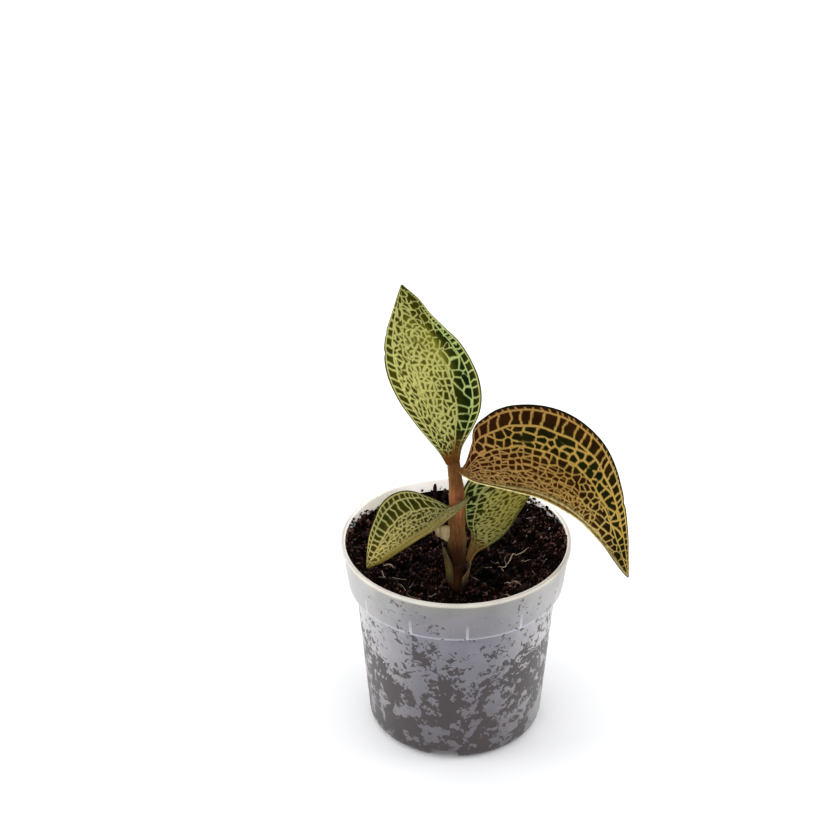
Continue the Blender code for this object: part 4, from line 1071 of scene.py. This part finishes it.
def lumpy(x, y):
    """Clods and pits in the mix, in mm above its smooth height."""
    clods = (1.9 * (patches(x / 3.1, y / 3.1, 41) - 0.5)
             + 1.1 * (patches(x / 1.5 + 9, y / 1.5, 42) - 0.5))
    grains = 0.7 * (patches(x / 0.7, y / 0.7 + 5, 43) - 0.5)
    holes = -1.3 * np.clip((patches(x / 2.2 + 3, y / 2.2, 44) - 0.68) / 0.2, 0, 1)
    return clods + grains + holes - 0.2


MIX_RINGS = 92
MIX_SIDES = 360
MIX_RADIUS = 30.6                # mm, of the cloddy top
MIX_FLOOR = FLOOR / MM + 3.6     # mm, its hidden underside, clear of the drain channels


def make_mix(material):
    """The mix: a cloddy top and a plain body that fills the pot."""
    turns = np.linspace(0, TURN, MIX_SIDES + 1)[:-1]
    rings = [mix_top(radius * np.cos(turns), radius * np.sin(turns))
             for radius in np.linspace(0.4, MIX_RADIUS, MIX_RINGS)]
    foot = (body_radius(FOOT_ROUNDING) - WALL) / MM - 0.3
    hidden = [(30.55, 56), (COLLAR_FOOT_RADIUS / MM - 1.2, 48), (27.3, 46.8), (foot, 5.6),
              (foot - 1.2, MIX_FLOOR)]       # radius and height, mm
    for radius, height in hidden:
        rings.append([(radius * math.cos(a), radius * math.sin(a), height) for a in turns])
    top = (0, 0, float(soil_height(0, 0.01)))
    points = np.concatenate([[top], *rings, [(0, 0, MIX_FLOOR)]])
    after = [(k + 1) % MIX_SIDES for k in range(MIX_SIDES)]
    faces = [(0, 1 + k, 1 + after[k]) for k in range(MIX_SIDES)]
    for ring in range(len(rings) - 1):
        a, b = 1 + ring * MIX_SIDES, 1 + (ring + 1) * MIX_SIDES
        faces += [(a + k, b + k, b + after[k], a + after[k]) for k in range(MIX_SIDES)]
    faces += [(b + after[k], b + k, len(points) - 1) for k in range(MIX_SIDES)]
    piece = mesh_piece("potting_mix", points * MM, faces)
    piece.data.shade_smooth()
    return finish_piece(piece, material, ["soil"])


def chip_shape():
    """Corners and faces of a plain twenty-sided crumb, one across."""
    deselect()
    bpy.ops.mesh.primitive_ico_sphere_add(subdivisions=1, radius=0.5)
    crumb = bpy.context.object
    corners = np.array([v.co for v in crumb.data.vertices])
    faces = [tuple(p.vertices) for p in crumb.data.polygons]
    bpy.data.objects.remove(crumb)
    return corners, faces


CRUMB_REACH = 30.3               # mm from the pot's axis
STEM_FOOT = (16.6, 3.2)          # mm, how far in front of the axis the stem stands, and its room


def over_the_mix(random, count):
    """Random places on the mix, in mm, clear of the stem's foot."""
    x, y = random.uniform(-CRUMB_REACH, CRUMB_REACH, (2, 3 * count))
    clear = (np.hypot(x, y) < CRUMB_REACH) & (np.hypot(x, y + STEM_FOOT[0]) > STEM_FOOT[1])
    return mix_top(x[clear][:count], y[clear][:count])


def inner_wall(height):
    """Inner radius of the collar at a height; both in mm."""
    slope = (COLLAR_TOP_RADIUS - COLLAR_FOOT_RADIUS) / (POT_HEIGHT - LIP_DEPTH - SHOULDER_HEIGHT)
    return (COLLAR_FOOT_RADIUS - WALL) / MM + slope * (height - SHOULDER_HEIGHT / MM)


# Where crumbs climb the pot's wall: bearing and spread in degrees, height in mm
WALL_HEAPS = [(190, 24, 1.7), (119, 19, 2.2), (20, 40, 2), (95, 8, 1.6)]
HIGHEST_CRUMB = 58.8             # mm, its middle on the wall
HIGHEST_POINT = 60.4             # mm, of any crumb


def up_the_wall(random, count):
    """Random places on the pot's inner wall just above the mix, most where it is heaped."""
    turn = random.uniform(-math.pi, math.pi, count)
    climb = 0.5 + 0.9 * patches(turn * 4 + 20, 0.5, 81)
    for middle, spread, high in WALL_HEAPS:
        away = (np.degrees(turn) - middle + 180) % 360 - 180
        climb += high * np.exp(-(away / spread) ** 2)
    rise = random.uniform(0, 1, count) ** 1.7 * climb
    rise = rise * (0.25 + 0.75 * (patches(turn * 13, rise * 0.9, 82) > 0.5))
    radius = MIX_RADIUS - 0.5 * (1 - rise / climb) * random.uniform(0, 1.6, count)
    x, y = radius * np.cos(turn), radius * np.sin(turn)
    high = np.minimum(soil_height(x, y) + rise + 0.2, HIGHEST_CRUMB)
    out = (inner_wall(high) - 0.25) / MIX_RADIUS
    return np.stack([x * out, y * out, high], axis=1)


PERLITE_SPOTS = [(24.6, 17.2), (21.8, 19.2), (26.6, 8.6)]  # mm


def near_perlite(random, count):
    """Random places on the mix near the white grains, in mm."""
    picks = np.array(PERLITE_SPOTS)[random.integers(0, len(PERLITE_SPOTS), count)]
    return mix_top(*(picks + random.normal(0, 0.9, (count, 2))).T)


LONG_BITS = 1.5                  # bits stretched more than this lie down
CRUMB_RISE = 0.12                # of its size, how far a bit's middle stands above the mix
WALL_GAP = 0.04                  # mm between the bits and the wall


def scatter(name, places, sizes, stretch, material, seed, stands_for=()):
    """Angular bits at the given places; each has its own shape, its own turn and its own tone, and
    bits in the mix's hollows are darker, a painted shade.

    Sizes are the middle size in mm, its spread and the largest one.
    """
    random = np.random.default_rng(seed)
    corners, triangles = chip_shape()
    count, each = len(places), len(corners)
    size = np.minimum(random.lognormal(math.log(sizes[0]), sizes[1], count), sizes[2])
    shape = corners * random.uniform(0.5, 1.25, (count, each, 1))
    shape = shape * np.stack([size * stretch, size * random.uniform(0.5, 1, count),
                              size * random.uniform(0.4, 0.9, count)], axis=1)[:, None]
    if stretch > LONG_BITS:
        lay, head = random.uniform(-0.3, 0.5, count), random.uniform(0, TURN, count)
        forward = np.stack([np.cos(head) * np.cos(lay), np.sin(head) * np.cos(lay), np.sin(lay)],
                           axis=1)
        side = unit(np.cross((0, 0, 1), forward))
        spin = np.stack([forward, side, np.cross(forward, side)], axis=2)
    else:
        spin = np.array([Quaternion(random.normal(size=4)).normalized().to_matrix()
                         for number in range(count)])
    shape = np.einsum("nij,nkj->nki", spin, shape) + places[:, None]
    shape[..., 2] += CRUMB_RISE * size[:, None]
    radius = np.hypot(shape[..., 0], shape[..., 1])
    room = inner_wall(shape[..., 2]) - WALL_GAP
    shape[..., :2] *= np.minimum(1, room / radius)[..., None]
    shape[..., 2] = np.minimum(shape[..., 2], HIGHEST_POINT)
    faces = [tuple(number * each + k for k in face) for number in range(count)
             for face in triangles]
    piece = mesh_piece(name, shape.reshape(-1, 3) * MM, faces)
    # Painted shade: the tone is partly random and partly the clods' height, so bits in hollows come
    # out darker
    tone = 0.85 * random.uniform(size=count) + 0.22 * (lumpy(places[:, 0], places[:, 1]) + 0.9)
    store(piece, "tone", "FLOAT", "value", np.repeat(tone, each))
    return finish_piece(piece, material, stands_for)


# Fine roots and hairs on the mix: start, heading in degrees, length and radius, mm
HAIRS = [((-18.3, -15.3), 20, 4.5, 0.09), ((-16, -17.5), -60, 3, 0.07),
         ((-12, -16), -100, 2.4, 0.07), ((12.5, -20), -8, 5, 0.09),
         ((6.5, -13), 160, 2.5, 0.06), ((21, -9.5), -80, 2.5, 0.06),
         ((16, 4), 35, 2.5, 0.07), ((24, -8), 60, 2, 0.06),
         ((-22.5, -4), 60, 3, 0.07), ((-8, -22), 15, 3, 0.07),
         ((8, -24.5), 5, 3, 0.07), ((-14, -21), -30, 2.4, 0.06),
         ((18, -6), 20, 3.4, 0.07), ((10, 6), 140, 3, 0.07),
         ((-10, 10), 30, 3, 0.07), ((-4, 20), 100, 3, 0.07),
         ((20, 14), -40, 2.2, 0.07), ((-24, 8), 80, 2, 0.07),
         ((14, -5.8), 95, 2.6, 0.08), ((12.6, -6.9), -70, 2.2, 0.09),
         ((9.5, -3), -30, 3, 0.08), ((7.5, -8), 10, 2.6, 0.06),
         ((-22, -14), -20, 2, 0.06), ((3, -24), 10, 2.4, 0.06)]
HAIR_STEPS = 14
HAIR_BEND = 0.2                  # radians at each step, at most
HAIR_RISE = 0.42                 # mm above the smoothed mix

# Longer fine roots, as in the solids; mm
SURFACE_ROOTS = {
    "surface_root_long": [(11.8, -7.1), (14, -6.2), (15.7, -3.2), (17.5, -0.6), (19.2, 0.2),
                          (20.6, 1.4)],
    "surface_root_front": [(13.3, -14.5), (14.9, -15.5), (16.6, -16), (18.8, -15.5)],
    "surface_root_left": [(-20.5, -8.6), (-19, -8.7), (-17.6, -9.6)],
    "surface_root_small": [(-20.9, -11.4), (-20.5, -12.8), (-19.8, -14.2)],
}
SURFACE_ROOT_RADIUS = 0.17       # mm
ROOT_SIDES = 6


def running_mean(values, reach):
    """Each value's mean with its neighbours on both sides."""
    count = 2 * reach + 1
    return np.convolve(np.pad(values, reach, mode="edge"), np.ones(count) / count, "valid")


def make_hairs(material):
    """Fine pale roots, root hairs and coir threads lying over the mix."""
    random = np.random.default_rng(77)
    lines = []
    for (x, y), head, length, radius in HAIRS:
        heads = math.radians(head) + np.cumsum(random.uniform(-HAIR_BEND, HAIR_BEND, HAIR_STEPS))
        lines.append((x + np.cumsum(np.cos(heads)) * length / HAIR_STEPS,
                      y + np.cumsum(np.sin(heads)) * length / HAIR_STEPS, radius))
    for corners in SURFACE_ROOTS.values():
        x, y = along_path(corners, np.linspace(0, 1, 8 * len(corners))).T
        lines.append((x, y, SURFACE_ROOT_RADIUS))
    points, faces = [], []
    for x, y, radius in lines:
        path = mix_top(x, y)
        high = np.maximum(path[:, 2], running_mean(path[:, 2], 3))
        path[:, 2] = running_mean(high, 2) + HAIR_RISE + radius
        thick = radius * (1 - 0.5 * np.linspace(-1, 1, len(x)) ** 4)
        faces += ring_faces(len(path), ROOT_SIDES, len(points))
        for centre, r, (side, across) in zip(path, thick, ring_frames(path, (0.3, 0.2, 0.9))[1]):
            points += [centre + r * (math.cos(a) * side + math.sin(a) * across)
                       for a in np.arange(ROOT_SIDES) * TURN / ROOT_SIDES]
    piece = mesh_piece("root_hairs", np.array(points) * MM, faces)
    piece.data.shade_smooth()
    return finish_piece(piece, material, list(SURFACE_ROOTS))


# Painted shade on the mix, where the stem and leaves shade it: place and reach in mm, and how much
# of the colour is left
SHADED_MIX_SPOTS = [((10.5, -9, 54.5), 9.5, 0.25), ((13, 8, 54.5), 8, 0.4),
                ((-7, -3.5, 54.5), 5.5, 0.4), ((-12, -10, 54.5), 5.5, 0.45)]


def mix_material():
    """Damp composted bark and coir: nearly black, with red-brown crumbs; its wet glints are painted
    highlights, and the spots beside the stem painted shade.
    """
    look = Look("damp_bark_and_coir", Roughness=0.7, IOR=1.4, Specular_IOR_Level=0.04)
    place = look.place()
    speck = look.add("TexNoise", {"Vector": place, "Scale": 1.8, "Detail": 4, "Roughness": 0.7})
    tone = look.add("Attribute", {}, "Fac", attribute_name="tone")
    mixed = look.add("Math", {0: tone, 1: 0.6, 2: speck}, operation="MULTIPLY_ADD")
    # The palest stop, #664A42, paints wet glints on the brightest crumbs: a painted highlight
    colour = look.add("ValToRGB", {0: mixed}, stops=[
        (0.4, "#040101"), (0.62, "#0D0504"), (0.8, "#22100C"), (0.92, "#3E231B"), (1, "#664A42")])
    clouds = look.add("TexNoise", {"Vector": place, "Scale": 0.09, "Detail": 2})
    colour = look.shade(colour, clouds, 0.3, 1.4, 0.35, 0.62)
    # Painted shade: the mix is darkened round each of these spots
    for spot, reach, share in SHADED_MIX_SPOTS:
        away = look.add("VectorMath", {0: place, 1: spot}, "Value", operation="DISTANCE")
        left = look.add("MapRange", {0: away, 1: 0.5 * reach, 2: reach, 3: share})
        colour = look.add("Mix", {0: 1, 6: colour, 7: left}, blend_type="MULTIPLY", **COLOURS)
    return look.finish(colour, speck, 0.7, 0.5)


def bark_material():
    """Broken pine bark: red-brown, layered and dull."""
    look = Look("broken_pine_bark", Roughness=0.85, IOR=1.4, Specular_IOR_Level=0.1)
    layers = look.add("TexNoise", {"Vector": look.place(z=3), "Scale": 1.1, "Detail": 4})
    colour = look.add("ValToRGB", {0: layers}, stops=[
        (0.35, "#0A0504"), (0.55, "#1E100C"), (0.72, "#4C2A24")])
    return look.finish(colour, layers, 0.8, 0.4)


def perlite_material():
    """Expanded perlite: white, frothy and matt, with dark crumbs in its pits."""
    look = Look("expanded_perlite", Roughness=0.9, IOR=1.5)
    froth = look.add("TexVoronoi", {"Vector": look.place(), "Scale": 3}, "Distance")
    colour = look.add("ValToRGB", {0: froth}, stops=[(0.1, "#8A847C"), (0.4, "#D8D4CC")])
    return look.finish(colour, froth, 0.8, 0.3)


def root_material():
    """Fine orchid roots: pale felted skin, stained by the mix."""
    look = Look("felted_root_skin", Roughness=0.7, IOR=1.4)
    stain = look.add("TexNoise", {"Vector": look.place(), "Scale": 0.8, "Detail": 3})
    colour = look.add("ValToRGB", {0: stain}, stops=[(0.3, "#6E5A48"), (0.6, "#B8A894")])
    return look.finish(colour, stain, 0.3, 0.1)


# ------------------------ stem and sheaths

def make_stem(material):
    """The fleshy stem, with its rings where leaves once sat and fine lengthwise furrows."""
    rows, sides = 200, 72
    where = np.linspace(0, 1, rows)
    path = along_path(STEM_PATH, where)
    radii = smooth_curve(np.linspace(0, 1, len(STEM_RADII)), STEM_RADII, where)[:, 0]
    heading, frames = ring_frames(path, (0, 1, 0))
    rings = [(centre, r, 1, frame) for centre, r, frame in zip(path, radii, frames)]
    for angle in np.linspace(0, 0.48 * math.pi, 8)[1:]:
        centre = path[-1] + STEM_DOME * math.sin(angle) * heading[-1]
        rings.append((centre, radii[-1], math.cos(angle), frames[-1]))
    turns = np.arange(sides) * TURN / sides
    points, flank = [], []
    for centre, r, shrink, (side, across) in rings:
        out = np.outer(np.cos(turns), side) + np.outer(np.sin(turns), across)
        x, y, z = (centre + r * out).T
        swell = np.zeros(sides)
        for height, tilt, rise, spread in STEM_RINGS:
            swell += rise * np.exp(-((z - height - tilt * x) / spread) ** 2)
        for height, tilt, rise in SHEATH_EDGES:
            level = z - height - tilt * x
            swell += rise * (1 - fading(level, -0.25, 0.25)) * fading(level, 4, 12)
        bearing = np.arctan2(out[:, 1], out[:, 0])
        flank += list(np.abs(np.cos(bearing)))
        furrows = 0.05 * np.sin(9 * bearing + 0.12 * z) + 0.03 * np.sin(23 * bearing)
        lumps = 0.16 * (patches(z / 4 + 3 * out[:, 0], 3 * out[:, 1], 61) - 0.5)
        points += list(centre + shrink * (r - 0.06 + swell + furrows + lumps)[:, None] * out)
    piece = mesh_piece("fleshy_stem", np.array(points) * MM, ring_faces(len(rings), sides))
    store(piece, "flank", "FLOAT", "value", flank)
    piece.data.shade_smooth()
    return finish_piece(piece, material, ["stem"])


def round_the_stem(height, radius, turn):
    """Places in mm at heights, distances from the stem's middle and bearings."""
    line = along_path(STEM_PATH, np.linspace(0.3, 1, 141))
    x, y = (np.interp(height, line[:, 2], line[:, axis]) for axis in (0, 1))
    return np.stack([x + radius * np.cos(turn), y + radius * np.sin(turn), height], axis=-1)


def make_paper(name, grid, material):
    """A dry sheath of even thickness from its middle surface."""
    offset = face_on(grid) * PAPER / 2
    piece = shell(f"{name}_paper", grid + offset, grid - offset)
    return finish_piece(piece, material, [name])


def make_sheath(name, material):
    """One dry sheath: a thin ragged funnel round the stem with fine lengthwise ribs."""
    low, high, inner, flare, start, end = SHEATHS[name]
    rows, columns = 8 * COARSE + 1, 14 * COARSE + 1
    turns = np.radians(np.linspace(start, end, columns))
    part = np.linspace(-1, 1, columns)
    dip = 1 - SHEATH_DIP * part**2
    ragged = (0.10 * (patches(np.arange(columns) / 3, 0.5, 71) - 0.5)
              + 0.05 * (patches(np.arange(columns) / 1.1, 0.5, 72) - 0.5))
    grid = np.zeros((rows, columns, 3))
    for i, rise in enumerate(np.linspace(0, 1, rows)):
        height = low + (high - low) * rise * np.minimum(dip + ragged * rise - 0.06 * rise, 1)
        radius = inner + flare * rise**SHEATH_FLARE_POWER + 0.05 * np.sin(part * 40)
        radius += 0.25 * (patches(np.full(columns, i / 9), part * 3, 73) - 0.5)
        grid[i] = round_the_stem(height, radius, turns)
    return make_paper(name, grid, material)


def make_torn_sheath(name, material):
    """A torn flap of sheath that stands off the stem's left side; it hangs from its top edge."""
    low, high, inner, reach, start, end = SHEATHS[name]
    along = np.linspace(0, 1, 5 * COARSE + 1)
    rise, out = np.meshgrid(along, along, indexing="ij")
    height = low + (high - low) * (rise + 0.25 * out * (1 - rise))
    turn = np.radians(end + (start - end) * out ** 0.7)
    width = reach * (0.4 + 0.6 * rise ** 0.6) * (1 + 0.08 * np.sin(9 * rise))
    grid = round_the_stem(height, inner + width * out ** 1.3, turn)
    grid[..., 2] += 0.12 * np.sin(7 * out)
    return make_paper(name, grid, material)


SOIL_STAIN = "#140A05"


def stem_material():
    """Living orchid stem: fleshy, waxy and tan-brown, flushed pink, dark and corky at its foot."""
    look = Look("fleshy_waxy_stem", Roughness=0.5, IOR=1.4, Specular_IOR_Level=0.06,
                Subsurface_Weight=0.15, Subsurface_Scale=1.5 * MM)
    place = look.place()
    low, high = 50, 96
    height = look.add("SeparateXYZ", {0: place}, "Z")
    part = look.add("MapRange", {0: height, 1: low, 2: high})
    tones = [(53, SOIL_STAIN), (58, "#3A2212"), (63, "#24120A"), (68, "#2E180C"),
             (73, "#5D3A1C"), (77, "#6A4424"), (80, "#8A5434"), (84, "#94583A"),
             (88, "#664020"), (92, "#5D3C1C")]
    base = look.add("ValToRGB", {0: part}, stops=[
        ((level - low) / (high - low), tone) for level, tone in tones])
    streaks = look.add("TexNoise", {"Vector": look.place(z=0.12), "Scale": 1.5, "Detail": 4,
                                    "Roughness": 0.6})
    base = look.shade(base, streaks, 0.6, 1.35)
    blotches = look.add("TexNoise", {"Vector": place, "Scale": 0.5, "Detail": 4})
    worn = look.add("ValToRGB", {0: blotches}, stops=[(0.55, 0), (0.72, 0.45)])
    base = look.add("Mix", {0: worn, 6: base, 7: "#3A2014"}, **COLOURS)
    flank = look.add("Attribute", {}, "Fac", attribute_name="flank")
    flank = look.add("MapRange", {0: flank, 1: 0.45, 2: 1, 4: 0.7})
    green = look.add("ValToRGB", {0: part}, stops=[
        (0.3, "#1E1508"), (0.45, "#6E5A30"), (0.9, "#6A5228")])
    base = look.add("Mix", {0: flank, 6: base, 7: green}, **COLOURS)
    # Painted shade: faces that point up, such as the tops of the rings and the dome, are painted a
    # darker brown
    facing = look.add("NewGeometry", {}, "Normal")
    upward = look.add("SeparateXYZ", {0: facing}, "Z")
    facing_up_shade = look.add("MapRange", {0: upward, 1: 0.3, 2: 0.8})
    base = look.add("Mix", {0: facing_up_shade, 6: base, 7: "#55371A"}, **COLOURS)
    return look.finish(base, streaks, 0.5, 0.25)


def sheath_material(name, *tones):
    """Dry leaf sheath: paper-thin, dull, with long fine ribs; light shows through it."""
    look = Look(name, Roughness=0.6, IOR=1.4, Subsurface_Weight=0.3, Subsurface_Scale=0.8 * MM)
    place = look.place()
    ribs = look.add("TexNoise", {"Vector": look.place(z=0.08), "Scale": 1.6, "Detail": 4})
    colour = look.add("ValToRGB", {0: ribs}, stops=zip((0.32, 0.5, 0.68), tones))
    blotches = look.add("TexNoise", {"Vector": place, "Scale": 0.45, "Detail": 3})
    worn = look.add("ValToRGB", {0: blotches}, stops=[(0.5, 0), (0.7, 0.7)])
    colour = look.add("Mix", {0: worn, 6: colour, 7: tones[3]}, **COLOURS)
    height = look.add("SeparateXYZ", {0: place}, "Z")
    damp = look.add("MapRange", {0: height, 1: 60.5, 2: 56.5})
    colour = look.add("Mix", {0: damp, 6: colour, 7: SOIL_STAIN}, **COLOURS)
    return look.finish(colour, ribs, 0.5, 0.2)


# ------------------------ the whole plant

make_pot(pot_material())

mix = mix_material()
make_mix(mix)
spread = np.random.default_rng(100)
crumbs = np.concatenate([over_the_mix(spread, 7200), up_the_wall(spread, 1100)])
scatter("mix_crumbs", crumbs, (0.55, 0.42, 1.9), 1.15, mix, 101)
scatter("mix_splinters", over_the_mix(spread, 420), (0.5, 0.3, 0.9), 3.4, mix, 102)
scatter("perlite_crumbs", near_perlite(spread, 9), (0.55, 0.3, 0.8), 1, perlite_material(),
        103, ["perlite_grain_back", "perlite_grain_near", "perlite_grain_side"])
root_skin = root_material()
make_hairs(root_skin)

make_stem(stem_material())
make_sheath("sheath_left", sheath_material(
    "dry_olive_sheath", "#352C0E", "#4C4214", "#625722", "#382610"))
make_sheath("sheath_right", sheath_material(
    "dry_tan_sheath", "#4A3820", "#644E2C", "#7A6238", "#3A2814"))
make_torn_sheath("sheath_torn", sheath_material(
    "dry_pale_sheath", "#776A48", "#928560", "#A39972", "#6D563C"))

for leaf in LEAVES:
    make_leaf(leaf, leaf_material(leaf))

finishes = {"root": root_skin, "bark": bark_material()}
for node, thing in frame["nodes"].items():
    finish = finishes.get(node.split("_")[0])
    if finish is not None:
        thing.data.materials.clear()
        thing.data.materials.append(finish)


# ------------------------ floor, light and camera

scene = bpy.context.scene
scene.view_settings.view_transform = "Standard"

deselect()
bpy.ops.mesh.primitive_plane_add(size=6)
floor = bpy.context.object
floor.name = "floor"
look = Look("matt_white_floor", Roughness=0.9)
paint = look.add("TexNoise", {"Vector": look.place(), "Scale": 0.02, "Detail": 2})
paint = look.add("Mix", {0: paint, 6: "#F4F4F5", 7: "#F7F7F7"}, **COLOURS)
look.put(look.shader.inputs["Base Color"], paint)
floor.data.materials.append(look.material)

world = bpy.data.worlds.new("soft_room")
world.use_nodes = True
background = world.node_tree.nodes["Background"]
background.inputs[0].default_value = (0.97, 0.98, 1, 1)
background.inputs[1].default_value = 1.11
scene.world = world

# Large square lights: where each one is, the height on the axis that it points at, size, power
for name, place, aim, size, power in (("softbox_high", (-0.45, 0.45, 1), 0, 0.9, 1.5),
                                      ("softbox_left", (-0.6, -0.05, 0.22), 0.04, 0.35, 1.6),
                                      ("softbox_right", (0.6, 0, 0.22), 0.04, 0.35, 1.7)):
    lamp = bpy.data.lights.new(name, "AREA")
    lamp.size = size
    lamp.energy = power
    thing = add_object(name, lamp)
    thing.location = place
    toward = Vector((0, 0, aim)) - Vector(place)
    thing.rotation_euler = toward.to_track_quat("-Z", "Y").to_euler()

lens = bpy.data.cameras.new("camera")
lens.lens = 132.4
lens.sensor_width = 36
camera = add_object("camera", lens)
camera.location = (-0.01021, -0.7210, 0.5492)
camera.rotation_euler = (math.radians(58.02), 0, 0)
scene.camera = camera
